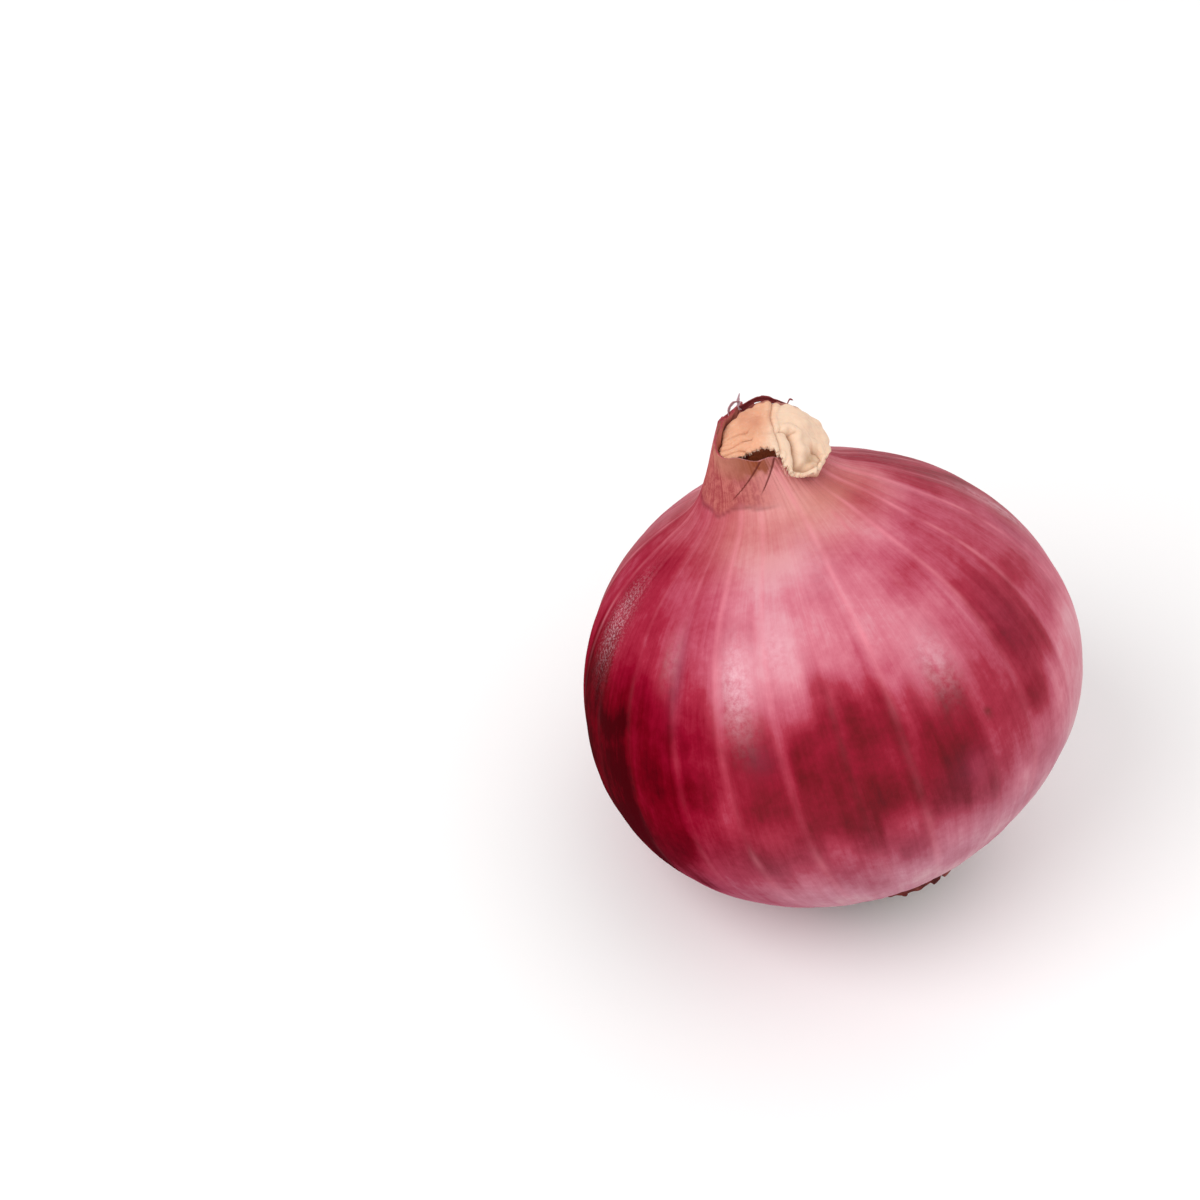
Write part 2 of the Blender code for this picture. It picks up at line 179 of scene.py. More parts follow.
def lumps(points, size, seed, terms=14):
    """Smooth seeded unevenness at these points, between about -1 and 1, with lumps about this big."""
    draw = np.random.default_rng(seed)
    total = np.zeros(points.shape[:-1])
    for _ in range(terms):
        way = draw.normal(size=3)
        way *= draw.uniform(0.7, 1.4) * math.tau / (size * np.linalg.norm(way))
        total += np.sin(points @ way + draw.uniform(0.0, math.tau))
    return total / math.sqrt(terms)


def crown_height(radius):
    dome = CROWN_HEIGHT * np.sqrt(1.0 - (radius / EQUATOR_RADIUS) ** 2)
    return dome + SLEEVE_RISE * np.exp(-(radius - SLEEVE_RADIUS) / FLARE_LENGTH)


def bowl_depth(radius):
    return BASE_DEPTH * np.sqrt(1.0 - (radius / EQUATOR_RADIUS) ** 2)


def base_depth(radius):
    return bowl_depth(radius) - DISH_DEPTH * smooth_step((DISH_RADIUS + DISH_EDGE - radius) / DISH_EDGE)


def tall_share(heading):
    turned = (heading - TALL_MIDDLE + math.pi) % math.tau - math.pi
    front = smooth_step((TALL_FRONT_SPAN - turned) / TALL_FRONT_FADE)
    return np.where(turned > 0.0, front, smooth_step((TALL_BACK_SPAN + turned) / TALL_BACK_FADE))


def step_share(radius, heading):
    """Where the bulb steps back under the torn skin at its root end, from 0 to 1."""
    off = apart(heading, 0.5 * (RAG_START + RAG_END))
    beside = smooth_step((0.5 * (RAG_END - RAG_START) + 1.5 * STEP_FADE - off) / STEP_FADE)
    outer = smooth_step((STEP_RADIUS - radius) / STEP_EDGE)
    return beside * outer * smooth_step((radius - DISH_RADIUS) / DISH_EDGE)


def swell(points):
    """How far the skin stands out or in, from the spots where the globe grew unevenly."""
    way = points / np.linalg.norm(points, axis=-1, keepdims=True)
    total = 0.0
    for heading, height, amount in GROWTH:
        level = math.cos(height)
        spot = np.array((level * math.cos(heading), level * math.sin(heading), math.sin(height)))
        total = total + amount * bump(np.linalg.norm(way - spot, axis=-1), 0.0, GROWTH_WIDTH)
    return total


def vein_place(heading, height_angle):
    """Nearest vein's angle away, its strength, and the share of the way between its neighbours."""
    swayed = heading + VEIN_SWAY * np.sin(2.3 * height_angle + 3.0 * heading)
    place = np.degrees(-swayed) % 360.0
    spots = np.array([spot for spot, _ in VEINS] + [360.0 + VEINS[0][0]])
    strengths = np.array([strength for _, strength in VEINS] + [VEINS[0][1]])
    left = np.clip(np.searchsorted(spots, place, side="right") - 1, 0, len(spots) - 2)
    before = place - spots[left]
    after = spots[left + 1] - place
    strength = np.where(before < after, strengths[left], strengths[left + 1])
    return np.radians(np.minimum(before, after)), strength, before / (before + after)


def grown(radius, heading, height, between):
    """Moves points of the turned bulb to the grown shape: ribs, lobes, neck and torn sleeve."""
    points = np.stack((radius * np.cos(heading), radius * np.sin(heading), height), axis=-1)
    body = smooth_step((radius - RIB_START) / RIB_BLEND)
    ribs = RIB_DEPTH * np.sqrt(np.clip(np.sin(math.pi * between), 0.0, 1.0))
    spread = 1.0 + body * swell(points) / EQUATOR_RADIUS
    across = spread * (1.0 + body * (ribs + waves(LOBES, heading)) / EQUATOR_RADIUS)
    x, y, z = points[..., 0] * across, points[..., 1] * across, height * spread
    top = smooth_step((z - crown_height(SLEEVE_RADIUS) + HOLLOW_DEPTH) / HOLLOW_DEPTH)
    neck = np.exp(-np.maximum(radius - SLEEVE_RADIUS, 0.0) / FLARE_LENGTH)
    neck = neck * np.where(radius < SLEEVE_RADIUS, top, 1.0) * (height > 0.0)
    shift = np.where(radius < SLEEVE_RADIUS, 1.0, np.exp(-(radius - SLEEVE_RADIUS) / FLARE_LENGTH))
    collar = smooth_step((COLLAR_REACH - radius) / COLLAR_BLEND)
    tooth = TOOTH_CUT * bump(apart(heading, TOOTH_HEADING), 0.0, TOOTH_SPAN)
    rise = neck * tall_share(heading) * (TALL_RISE + waves(TEETH, heading) - tooth)
    dip = DIP_DEPTH * neck * smooth_step((DIP_SPAN - apart(heading, DIP_MIDDLE)) / DIP_FADE)
    front = smooth_step((FRONT_SPAN - apart(heading, FRONT_MIDDLE)) / FRONT_FADE)
    dip = dip - FRONT_RISE * neck * front
    above = x * NECK_WIDENING * collar ** 2 + NECK_SHIFT * collar + SLEEVE_SHIFT * shift
    x = x + (height > 0.0) * above + TALL_LEAN * rise ** 2 / TALL_RISE
    z = z + rise - dip + (height <= 0.0) * STEP_DEPTH * step_share(radius, heading)
    return np.stack((x, y, z), axis=-1)


axis = Vector((-math.sin(LEAN_HEADING), math.cos(LEAN_HEADING), 0.0))
reach = math.hypot(EQUATOR_RADIUS * math.sin(LEAN), BASE_DEPTH * math.cos(LEAN))
offset = (EQUATOR_RADIUS ** 2 - BASE_DEPTH ** 2) * math.sin(LEAN) * math.cos(LEAN) / reach
onion_centre = MM * Vector((-offset * math.cos(LEAN_HEADING), -offset * math.sin(LEAN_HEADING),
                            reach - FLAT_DEPTH))
pose = Matrix.Translation(onion_centre) @ Matrix.Rotation(LEAN, 4, axis) @ Matrix.Rotation(TURN, 4, 'Z')


def in_world(points):
    """From millimetres in the onion's own frame to metres as it rests."""
    turn = np.array(pose)
    return MM * np.asarray(points) @ turn[:3, :3].T + turn[:3, 3]


def keep_attribute(mesh, name, values):
    layer = mesh.attributes.new(name, 'FLOAT', 'POINT')
    layer.data.foreach_set("value", np.ascontiguousarray(values, dtype=np.float32).ravel())


def add_piece(name, mesh):
    thing = bpy.data.objects.new(name, mesh)
    bpy.context.scene.collection.objects.link(thing)
    return thing


def finished_mesh(thing):
    """Leaves the object a plain mesh of what its modifiers made."""
    bpy.context.view_layer.update()
    graph = bpy.context.evaluated_depsgraph_get()
    mesh = bpy.data.meshes.new_from_object(thing.evaluated_get(graph), depsgraph=graph)
    thing.modifiers.clear()
    thing.data = mesh
    mesh.shade_smooth()
    return thing


class Value:
    """A socket of a node tree. Sums, products and powers of these add Math nodes to the tree."""

    def __init__(self, tree, socket):
        self.tree = tree
        self.socket = socket

    def maths(self, operation, *terms, clamp=False):
        settings = {"operation": operation, "use_clamp": clamp}
        return add_node(self.tree, "ShaderNodeMath", settings, dict(enumerate(terms)))

    def __add__(self, other):
        return self.maths('ADD', self, other)

    def __radd__(self, other):
        return self.maths('ADD', other, self)

    def __sub__(self, other):
        return self.maths('SUBTRACT', self, other)

    def __rsub__(self, other):
        return self.maths('SUBTRACT', other, self)

    def __mul__(self, other):
        return self.maths('MULTIPLY', self, other)

    def __rmul__(self, other):
        return self.maths('MULTIPLY', other, self)

    def __truediv__(self, other):
        return self.maths('DIVIDE', self, other)

    def __pow__(self, other):
        return self.maths('POWER', self, other)

    def held(self):
        """The same, kept between 0 and 1."""
        return self.maths('ADD', self, 0.0, clamp=True)

    def over(self, low, high):
        """Rises smoothly from 0 at low to 1 at high."""
        part = ((self - low) / (high - low)).held()
        return part * part * (3.0 - 2.0 * part)


def add_node(tree, kind, settings, sockets, output=0):
    """Adds a node, sets it up, joins or sets its sockets and returns one of its outputs."""
    node = tree.nodes.new(kind)
    for key, value in settings.items():
        if key == "stops":
            fill_ramp(node.color_ramp, value)
        else:
            setattr(node, key, value)
    for key, value in sockets.items():
        if isinstance(value, Value):
            tree.links.new(value.socket, node.inputs[key])
        else:
            node.inputs[key].default_value = value
    return Value(tree, node.outputs[output])


def fill_ramp(ramp, stops):
    while len(ramp.elements) < len(stops):
        ramp.elements.new(1.0)
    for element, (place, colour) in zip(ramp.elements, stops):
        element.position = place
        element.color = (*colour, 1.0)


def colours(tree, level, stops):
    return add_node(tree, "ShaderNodeValToRGB", {"stops": stops}, {0: level})


def paint(tree, share, under, over):
    """Colour over another, by a share from 0 to 1."""
    below = under if isinstance(under, Value) else (*under, 1.0)
    above = over if isinstance(over, Value) else (*over, 1.0)
    settings = {"data_type": 'RGBA', "blend_type": 'MIX', "clamp_factor": True}
    return add_node(tree, "ShaderNodeMix", settings, {0: share, 6: below, 7: above}, output=2)


def kept(tree, name, output=2):
    """The piece's own attribute of this name, as a number, or as a vector with output 1."""
    return add_node(tree, "ShaderNodeAttribute", {"attribute_name": name}, {}, output)


def own_place(tree):
    """The point's place in the piece's own coordinates."""
    return add_node(tree, "ShaderNodeTexCoord", {}, {}, output=3)


def speckle(tree, where, scale, detail, roughness):
    """Noise from about 0 to 1."""
    sockets = {"Vector": where, "Scale": scale, "Detail": detail, "Roughness": roughness}
    return add_node(tree, "ShaderNodeTexNoise", {}, sockets)


def new_material(name):
    """A material with only its surface shader; returns it with its tree."""
    made = bpy.data.materials.new(name)
    made.use_nodes = True
    return made, made.node_tree


def finish_surface(tree, sockets):
    """Joins or sets the sockets of the material's surface shader."""
    shader = tree.nodes["Principled BSDF"]
    for key, value in sockets.items():
        if isinstance(value, Value):
            tree.links.new(value.socket, shader.inputs[key])
        else:
            shader.inputs[key].default_value = value


def relief(tree, height, distance, strength):
    sockets = {"Height": height, "Distance": distance, "Strength": strength}
    return add_node(tree, "ShaderNodeBump", {}, sockets)


# The bulb's rows of points, from the hollow in the neck over the torn rim and down to the roots
rim_height = float(crown_height(SLEEVE_RADIUS))
hollow_turn = 0.5 * math.pi * np.linspace(HOLLOW_START, 1.0, HOLLOW_ROWS)
hollow_share = np.sin(hollow_turn) ** HOLLOW_CROWDING
hollow_down = 1.0 - hollow_share ** HOLLOW_SQUARENESS
hollow_wall = RIM_WALL + (SLEEVE_WALL - RIM_WALL) * smooth_step(hollow_down)
fine_share = np.sin(np.linspace(0.0, 0.5 * math.pi, FINE_STEPS))
fine_radius = SLEEVE_RADIUS + (EQUATOR_RADIUS - SLEEVE_RADIUS) * fine_share
fine_length = np.cumsum(np.hypot(np.diff(fine_radius, prepend=SLEEVE_RADIUS),
                                 np.diff(crown_height(fine_radius), prepend=rim_height)))
row_length = fine_length[-1] * (np.arange(CROWN_ROWS) / CROWN_ROWS) ** CROWN_CROWDING
crown_radius = np.interp(row_length, fine_length, fine_radius)
base_radius = np.sort(np.concatenate((
    EQUATOR_RADIUS * np.cos(0.5 * math.pi * np.arange(BASE_ROWS) / BASE_ROWS),
    np.linspace(STEP_RADIUS - STEP_EDGE, STEP_RADIUS, STEP_ROWS),
    np.linspace(DISH_RADIUS, DISH_RADIUS + DISH_EDGE, DISH_ROWS))))[::-1]
row_radius = np.concatenate((
    hollow_share * (SLEEVE_RADIUS - hollow_wall),
    [SLEEVE_RADIUS - 0.5 * RIM_WALL],
    crown_radius, base_radius))
row_height = np.concatenate((
    rim_height - HOLLOW_DEPTH * hollow_down,
    [rim_height + LIP_RISE],
    crown_height(crown_radius), -base_depth(base_radius)))
row_inside = np.concatenate((0.1 + 0.9 * hollow_down, [0.03], np.zeros(CROWN_ROWS + len(base_radius))))
row_angle = np.sign(row_height) * np.arccos(np.clip(row_radius / EQUATOR_RADIUS, 0.0, 1.0))

heading = np.broadcast_to(np.arange(COLUMNS) * math.tau / COLUMNS, (len(row_radius), COLUMNS))
radius = np.broadcast_to(row_radius[:, None], heading.shape)
height = np.broadcast_to(row_height[:, None], heading.shape)
inside = np.broadcast_to(row_inside[:, None], heading.shape)
height_angle = np.broadcast_to(row_angle[:, None], heading.shape)
vein_away, vein_strength, between = vein_place(heading, height_angle)
skin = grown(radius, heading, height, between)

# What the material and the relief read: angles in degrees, place counted from +X towards -Y
place = np.degrees(-heading) % 360.0
lat = np.degrees(height_angle)
outside = (inside == 0.0) * 1.0


def patch(place_middle, lat_middle, place_width, lat_width):
    """A soft round patch of the skin, 1 in its middle."""
    off = np.degrees(apart(np.radians(place), math.radians(place_middle)))
    return bump(off, 0.0, place_width) * bump(lat, lat_middle, lat_width)


def patches(rows):
    """Sum of soft patches, each with its amount, its middle and its widths round and up."""
    return sum(amount * patch(*sizes) for amount, *sizes in rows)


def round_levels(levels):
    """A value that runs smoothly round the bulb through (place, value) points."""
    spots, values = zip(*levels)
    return np.interp(place, spots, values, period=360.0)


GRAIN_STRETCH = 0.07
grain = np.stack((np.cos(heading), np.sin(heading), GRAIN_STRETCH * height_angle), axis=-1)
uneven = lumps(skin, 9.0, 11)
streaky = lumps(grain * EQUATOR_RADIUS, 4.0, 12)
# The depth is greatest on the left flank, places about 140 to 200, partly as painted shade. Low down on
# the right edge, places about 0 to 30, the skin is paler, partly as a painted reflection.
upper = round_levels(((0, 0.66), (10, 0.42), (24, 0.43), (42, 0.47), (57, 0.33), (72, 0.26), (88, 0.22),
                      (102, 0.1), (116, 0.2), (128, 0.38), (145, 0.54), (165, 0.66), (200, 0.62),
                      (235, 0.45), (270, 0.56), (310, 0.48), (345, 0.6)))
lower = round_levels(((8, 0.06), (20, 0.06), (32, 0.14), (42, 0.38), (57, 0.44), (72, 0.48), (88, 0.58),
                      (102, 0.66), (130, 0.68), (145, 0.94), (165, 1.15), (200, 0.7), (240, 0.42),
                      (280, 0.38), (330, 0.24)))
paler = 0.15 + 0.3 * smooth_step((142.0 - place) / 20.0) - 0.34 * bump(place, 50.0, 22.0)
upper = upper * (1.0 - smooth_step((lat - 52.0) / 18.0) * paler)
lower = lower * (1.0 - 0.55 * smooth_step((-10.0 - lat) / 28.0))
high = smooth_step((lat + 2.0) / 36.0)
deep = upper * high + lower * (1.0 - high)
edge = lat + 4.2 * uneven + 2.6 * streaky
for start, end, top, bottom, depth in BANDS:
    turned = (place - start + 180.0) % 360.0 - 180.0
    share = smooth_step(turned / BAND_SIDE_FADE + 0.5)
    share = share * smooth_step((end - start - turned) / BAND_SIDE_FADE + 0.5)
    share = share * smooth_step((top - edge) / BAND_END_FADE + 0.5)
    share = share * smooth_step((edge - bottom) / BAND_END_FADE + 0.5)
    deep += (depth - deep) * share
deep += 0.08 * uneven

vein_width = VEIN_WIDTH * (0.9 + 0.6 * smooth_step((60.0 - lat) / 50.0))
vein_line = bump(vein_away * radius, 0.0, vein_width) * vein_strength
vein_line *= 0.75 + 0.35 * lumps(skin, 6.0, 14)
vein_line *= 0.14 + 0.86 * smooth_step((lat - 14.0) / 34.0) + 0.45 * smooth_step(-lat / 14.0)
vein_line *= smooth_step((lat + 44.0) / 30.0) * smooth_step((86.0 - lat) / 8.0) * outside
neck_tint = smooth_step((lat - 54.0) / 20.0) * outside
neck_tint *= round_levels(((0, 0.45), (28, 1.0), (132, 1.0), (160, 0.35), (240, 0.8), (330, 0.6)))
root_tint = smooth_step((8.0 - lat + 3.0 * uneven) / 40.0)
gloss = 1.0 - 0.94 * smooth_step((place - 112.0) / 26.0) * smooth_step((208.0 - place) / 14.0)

# Worn patches, a pale veil that is mostly painted highlight and painted reflection, and dusky shades:
# amount, place, height angle, and widths round and up
scuff = patches(((0.5, 174, 44, 5.5, 10.0),))
veil = patches(((0.75, 119, 37, 4.5, 10.0), (0.45, 106, 43, 6.0, 7.0), (0.4, 68, 28, 5.5, 8.0),
                (0.2, 141, 42, 3.0, 6.0), (0.25, 88, 62, 9.0, 9.0), (0.5, 0, 32, 5.0, 14.0)))
dusk = patches(((0.5, 138, 38, 2.6, 10.0), (0.35, 70, 0, 6.0, 5.0), (0.2, 44, 24, 7.0, 12.0),
                (0.3, 115, 19, 4.0, 3.5), (0.25, 12, 30, 4.0, 8.0), (0.3, 225, 8, 7.0, 10.0),
                (0.3, 318, 6, 8.0, 9.0)))

# Old skin at the foot of the neck, torn off along a dark edge, and two cracks down from the rim
OLD_SKIN_SPAN = (math.radians(-205.0), math.radians(-82.0))
OLD_SKIN_EDGE = 7.7
OLD_SKIN_THICKNESS = 0.10
OLD_SKIN_FADE = math.radians(30.0)

# Each crack's heading at its top and at its end, and the heights of both
CRACKS = ((math.radians(-101.0), math.radians(-136.0), 36.6, 33.0),
          (math.radians(-83.0), math.radians(-106.0), 36.4, 33.2))
CRACK_WIDTH = 0.18
CRACK_DEPTH = 0.25
BROWNED_MIDDLE = math.radians(-100.0)
BROWNED_SPAN = math.radians(28.0)
BROWNED_HEIGHT = 35.5
DARK_RIM_HEIGHT = 39.5
# Where the painted shadow under the leaf's folded tip lies
LEAF_SHADOW_MIDDLE = math.radians(-60.0)
LEAF_SHADOW_SPAN = math.radians(26.0)
FAR_FROM_CRACK = 9.0
off = apart(heading, 0.5 * sum(OLD_SKIN_SPAN))
covered = smooth_step((0.5 * (OLD_SKIN_SPAN[1] - OLD_SKIN_SPAN[0]) - off) / OLD_SKIN_FADE)
edge_radius = OLD_SKIN_EDGE + 0.35 * lumps(grain * SLEEVE_RADIUS, 2.4, 13)
old_skin = covered * smooth_step((edge_radius - radius) / 0.3) * outside * (lat > 0.0)
torn_line = 0.55 * covered * bump(radius, edge_radius, 0.14) * (lat > 0.0)
torn_line += 0.55 * smooth_step((skin[..., 2] - DARK_RIM_HEIGHT) / 2.0) * outside
torn_line += 0.9 * patch(62, 10, 0.9, 1.2)
browned = bump(apart(heading, BROWNED_MIDDLE), 0.0, BROWNED_SPAN) * outside
browned *= smooth_step((skin[..., 2] + 0.3 * lumps(skin, 1.2, 15) - BROWNED_HEIGHT) / 1.0)
crack_sides = []
crack_share = np.zeros(heading.shape)
for first, last, start_height, end_height in CRACKS:
    share = (start_height - skin[..., 2]) / (start_height - end_height)
    side = (heading - first - (last - first) * share + math.pi) % math.tau - math.pi
    taper = 1.2 - 0.6 * np.clip(share, 0.0, 1.0)
    crack_sides.append(np.where(outside * (lat > 0.0), side * radius / taper, FAR_FROM_CRACK))
    near = bump(side * radius, 0.0, 1.0) * smooth_step((1.1 - share) / 0.5)
    crack_share = np.maximum(crack_share, near)
crack = crack_share * bump(np.minimum(np.abs(crack_sides[0]), np.abs(crack_sides[1])), 0.0, CRACK_WIDTH)
# Painted shadow: a tan tint on the bulb under the leaf's folded tip, and a tan tint on the sleeve's
# front wall below the leaf.
tan_and_painted_leaf_shadow = 0.5 * bump(apart(heading, LEAF_SHADOW_MIDDLE), 0.0, LEAF_SHADOW_SPAN) * bump(radius, 8.8, 2.2)
tan_and_painted_leaf_shadow += 0.7 * covered * smooth_step((6.4 - radius) / 0.7)
tan_and_painted_leaf_shadow *= (lat > 0.0) * outside

lift = OLD_SKIN_THICKNESS * old_skin - CRACK_DEPTH * crack
normal = skin / np.array((EQUATOR_RADIUS ** 2, EQUATOR_RADIUS ** 2, CROWN_HEIGHT ** 2))
normal /= np.linalg.norm(normal, axis=-1, keepdims=True)
skin = skin + lift[..., None] * normal * np.array((1.0, 1.0, 0.4))


def with_poles(points):
    """All the points of a grid in one list, then the middle of its first row and of its last."""
    return np.concatenate((points.reshape(-1, 3), [points[0].mean(axis=0), points[-1].mean(axis=0)]))


def closed_mesh(name, points):
    """A closed mesh from rows of points round an axis, with a pole at either end, off the floor."""
    rows, columns = points.shape[:2]
    world = in_world(with_poles(points))
    world[:, 2] = np.maximum(world[:, 2], 0.0)
    index = np.arange(rows * columns).reshape(rows, columns)
    beside = np.roll(index, -1, axis=1)
    faces = np.stack((index[:-1], index[1:], beside[1:], beside[:-1]), axis=-1).reshape(-1, 4).tolist()
    faces += [(rows * columns, int(a), int(b)) for a, b in zip(index[0], beside[0])]
    faces += [(rows * columns + 1, int(b), int(a)) for a, b in zip(index[-1], beside[-1])]
    made = bpy.data.meshes.new(name)
    made.from_pydata(world.tolist(), [], faces)
    return made


mesh = closed_mesh("onion_bulb", skin)
layer = mesh.attributes.new("grain", 'FLOAT_VECTOR', 'POINT')
layer.data.foreach_set("vector", with_poles(grain).astype(np.float32).ravel())
MASKS = {"deep": deep, "vein": vein_line, "neck": neck_tint, "root": root_tint, "scuff": scuff,
         "dusk": dusk, "gloss": gloss, "hollow": inside, "old_skin": old_skin, "tan": tan_and_painted_leaf_shadow,
         "veil": veil, "torn": torn_line, "browned": browned, "crack_one": crack_sides[0],
         "crack_two": crack_sides[1], "crack_share": crack_share}
for name, values in MASKS.items():
    keep_attribute(mesh, name, np.concatenate((values.ravel(), values[0, :1], values[-1, :1])))
bulb = add_piece("onion_bulb", mesh)

# Skin colours by its depth, from palest to darkest, on the body, at the neck and at the root end
BODY_COLOURS = ((0.0, (0.65, 0.29, 0.34)), (0.17, (0.58, 0.16, 0.215)), (0.33, (0.47, 0.08, 0.13)),
                (0.5, (0.35, 0.02, 0.047)), (0.67, (0.245, 0.002, 0.018)), (0.83, (0.15, 0.0, 0.006)),
                (1.0, (0.055, 0.0, 0.002)))
NECK_COLOURS = ((0.0, (0.64, 0.26, 0.25)), (0.2, (0.53, 0.15, 0.155)), (0.42, (0.42, 0.075, 0.085)),
                (0.67, (0.28, 0.01, 0.035)), (1.0, (0.12, 0.002, 0.01)))
ROOT_COLOURS = ((0.0, (0.60, 0.37, 0.40)), (0.25, (0.46, 0.165, 0.225)), (0.5, (0.32, 0.05, 0.09)),
                (0.8, (0.12, 0.004, 0.014)), (1.0, (0.06, 0.0, 0.004)))
VEIN_COLOUR = (0.80, 0.26, 0.32)
SCUFF_COLOUR = (0.78, 0.52, 0.58)
# A pale pink for the painted highlight and painted reflection, with a little pale bloom
PALE_VEIL_AND_HIGHLIGHT_COLOUR = (0.80, 0.50, 0.56)
DUSK_COLOUR = (0.13, 0.03, 0.06)
OLD_SKIN_COLOUR = (0.29, 0.045, 0.045)
OLD_SKIN_LIGHT = (0.49, 0.15, 0.125)
TAN_AND_LEAF_SHADOW_COLOUR = (0.52, 0.24, 0.17)
HOLLOW_COLOURS = ((0.0, (0.36, 0.10, 0.10)), (0.45, (0.44, 0.13, 0.075)), (0.9, (0.46, 0.13, 0.05)))
TORN_COLOUR = (0.11, 0.012, 0.008)
BROWNED_COLOUR = (0.24, 0.055, 0.02)

skin_look, tree = new_material("papery_onion_skin")
grain_place = kept(tree, "grain", 1)
body_place = own_place(tree)
streaks = speckle(tree, grain_place, 24.0, 6.0, 0.58)
fine_streaks = speckle(tree, grain_place, 190.0, 3.0, 0.6)
mottle = speckle(tree, body_place, 420.0, 7.0, 0.66)
flecks = speckle(tree, body_place, 3600.0, 2.0, 0.5)
net = speckle(tree, body_place, 1100.0, 5.0, 0.7)
level = kept(tree, "deep") + 0.36 * (streaks - 0.5) + 0.11 * (fine_streaks - 0.5)
level = ((level + 0.36 * (mottle - 0.5) + 0.16 * (net - 0.5)) / 1.2).held()
colour = colours(tree, level, BODY_COLOURS)
colour = paint(tree, kept(tree, "neck"), colour, colours(tree, level, NECK_COLOURS))
colour = paint(tree, kept(tree, "root"), colour, colours(tree, level, ROOT_COLOURS))
colour = paint(tree, (kept(tree, "vein") * (0.15 + 0.85 * streaks)).held(), colour, VEIN_COLOUR)
colour = paint(tree, (kept(tree, "dusk") * (0.3 + 0.9 * mottle)).held(), colour, DUSK_COLOUR)
bloom = (kept(tree, "scuff") * (flecks.over(0.46, 0.64) + 0.3 * mottle)).held()
colour = paint(tree, 0.8 * bloom, colour, SCUFF_COLOUR)
# Painted highlight and painted reflection, with a little pale bloom, mixed in as a streaky pale pink
# veil.
veil_and_highlight_share = (kept(tree, "veil") * (0.9 * net.over(0.2, 0.75) + 1.1 * (streaks - 0.4))).held()
colour = paint(tree, veil_and_highlight_share, colour, PALE_VEIL_AND_HIGHLIGHT_COLOUR)
old_colour = paint(tree, (0.55 * net + 0.45 * streaks).over(0.4, 0.6), OLD_SKIN_COLOUR, OLD_SKIN_LIGHT)
colour = paint(tree, 0.8 * kept(tree, "old_skin"), colour, old_colour)
# Painted shadow under the leaf, tinted tan, and the tan tint on the sleeve's front wall.
colour = paint(tree, kept(tree, "tan") * (0.5 + 0.5 * streaks), colour, TAN_AND_LEAF_SHADOW_COLOUR)
colour = paint(tree, kept(tree, "hollow").over(0.0, 0.15), colour,
               colours(tree, kept(tree, "hollow"), HOLLOW_COLOURS))
cracked = (1.0 - (kept(tree, "crack_one") / CRACK_WIDTH) ** 2).held()
cracked = cracked + (1.0 - (kept(tree, "crack_two") / CRACK_WIDTH) ** 2).held()
dark_lines = (kept(tree, "torn") + cracked * kept(tree, "crack_share").over(0.1, 0.9)).held()
colour = paint(tree, (kept(tree, "browned") * (0.35 + 1.1 * streaks)).held(), colour, BROWNED_COLOUR)
colour = paint(tree, 0.9 * dark_lines, colour, TORN_COLOUR)
finish_surface(tree, {
    "Base Color": colour,
    "Roughness": (0.42 + 0.14 * fine_streaks + 0.3 * bloom + 0.1 * kept(tree, "neck")).held(),
    "Specular IOR Level": 0.0,
    "Coat Weight": 0.36 * kept(tree, "gloss"),
    "Coat Roughness": 0.36,
    "Coat IOR": 1.45,
    "Normal": relief(tree, 0.6 * fine_streaks + 0.4 * mottle, 0.00005, 0.5),
})


def named_input(tree, name, kind, value):
    socket = tree.interface.new_socket(name, in_out='INPUT', socket_type=kind)
    socket.default_value = value
    return socket


def new_growth(name):
    """An empty tree for a mesh to grow by, with its way in and out; returns it with its input node."""
    tree = bpy.data.node_groups.new(name, 'GeometryNodeTree')
    tree.interface.new_socket("Geometry", in_out='INPUT', socket_type='NodeSocketGeometry')
    tree.interface.new_socket("Geometry", in_out='OUTPUT', socket_type='NodeSocketGeometry')
    return tree, tree.nodes.new("NodeGroupInput")


def mesh_value(tree, name, kind):
    """The mesh's own attribute of this name, inside a growth tree."""
    return add_node(tree, "GeometryNodeInputNamedAttribute", {"data_type": kind}, {"Name": name})


def end_growth(tree, shape, look):
    """Ends the tree with plain geometry that wears this material."""
    real = add_node(tree, "GeometryNodeRealizeInstances", {}, {0: shape})
    dressed = add_node(tree, "GeometryNodeSetMaterial", {}, {"Geometry": real, "Material": look})
    way_out = tree.nodes.new("NodeGroupOutput")
    tree.links.new(dressed.socket, way_out.inputs[0])


def grow(thing, tree, values):
    """Puts the tree on an object with these inputs, and makes the result its mesh."""
    modifier = thing.modifiers.new(tree.name, 'NODES')
    modifier.node_group = tree
    for item in tree.interface.items_tree:
        if item.in_out == 'INPUT' and item.name in values:
            modifier[item.identifier] = values[item.name]
    return finished_mesh(thing)


# Fine relief of the skin: raised veins and shallow wrinkles along the grain, above the flat spot
VEIN_HEIGHT = 0.05
WRINKLE_DEPTH = 0.16
WRINKLE_SCALE = 24.0
RELIEF_START = 0.3
tree, way_in = new_growth("skin_relief")
named_input(tree, "Vein height", 'NodeSocketFloat', 0.0)
named_input(tree, "Wrinkle depth", 'NodeSocketFloat', 0.0)
named_input(tree, "Wrinkle scale", 'NodeSocketFloat', 1.0)
relief_input = {item.name: Value(tree, item) for item in way_in.outputs if item.name}
vein_here = mesh_value(tree, "vein", 'FLOAT')
grain_here = mesh_value(tree, "grain", 'FLOAT_VECTOR')
neck_here = mesh_value(tree, "neck", 'FLOAT')
wrinkles = speckle(tree, grain_here, relief_input["Wrinkle scale"], 3.0, 0.55) - 0.5
lift_here = relief_input["Vein height"] * vein_here
lift_here = lift_here + relief_input["Wrinkle depth"] * wrinkles * (1.0 + 1.5 * neck_here)
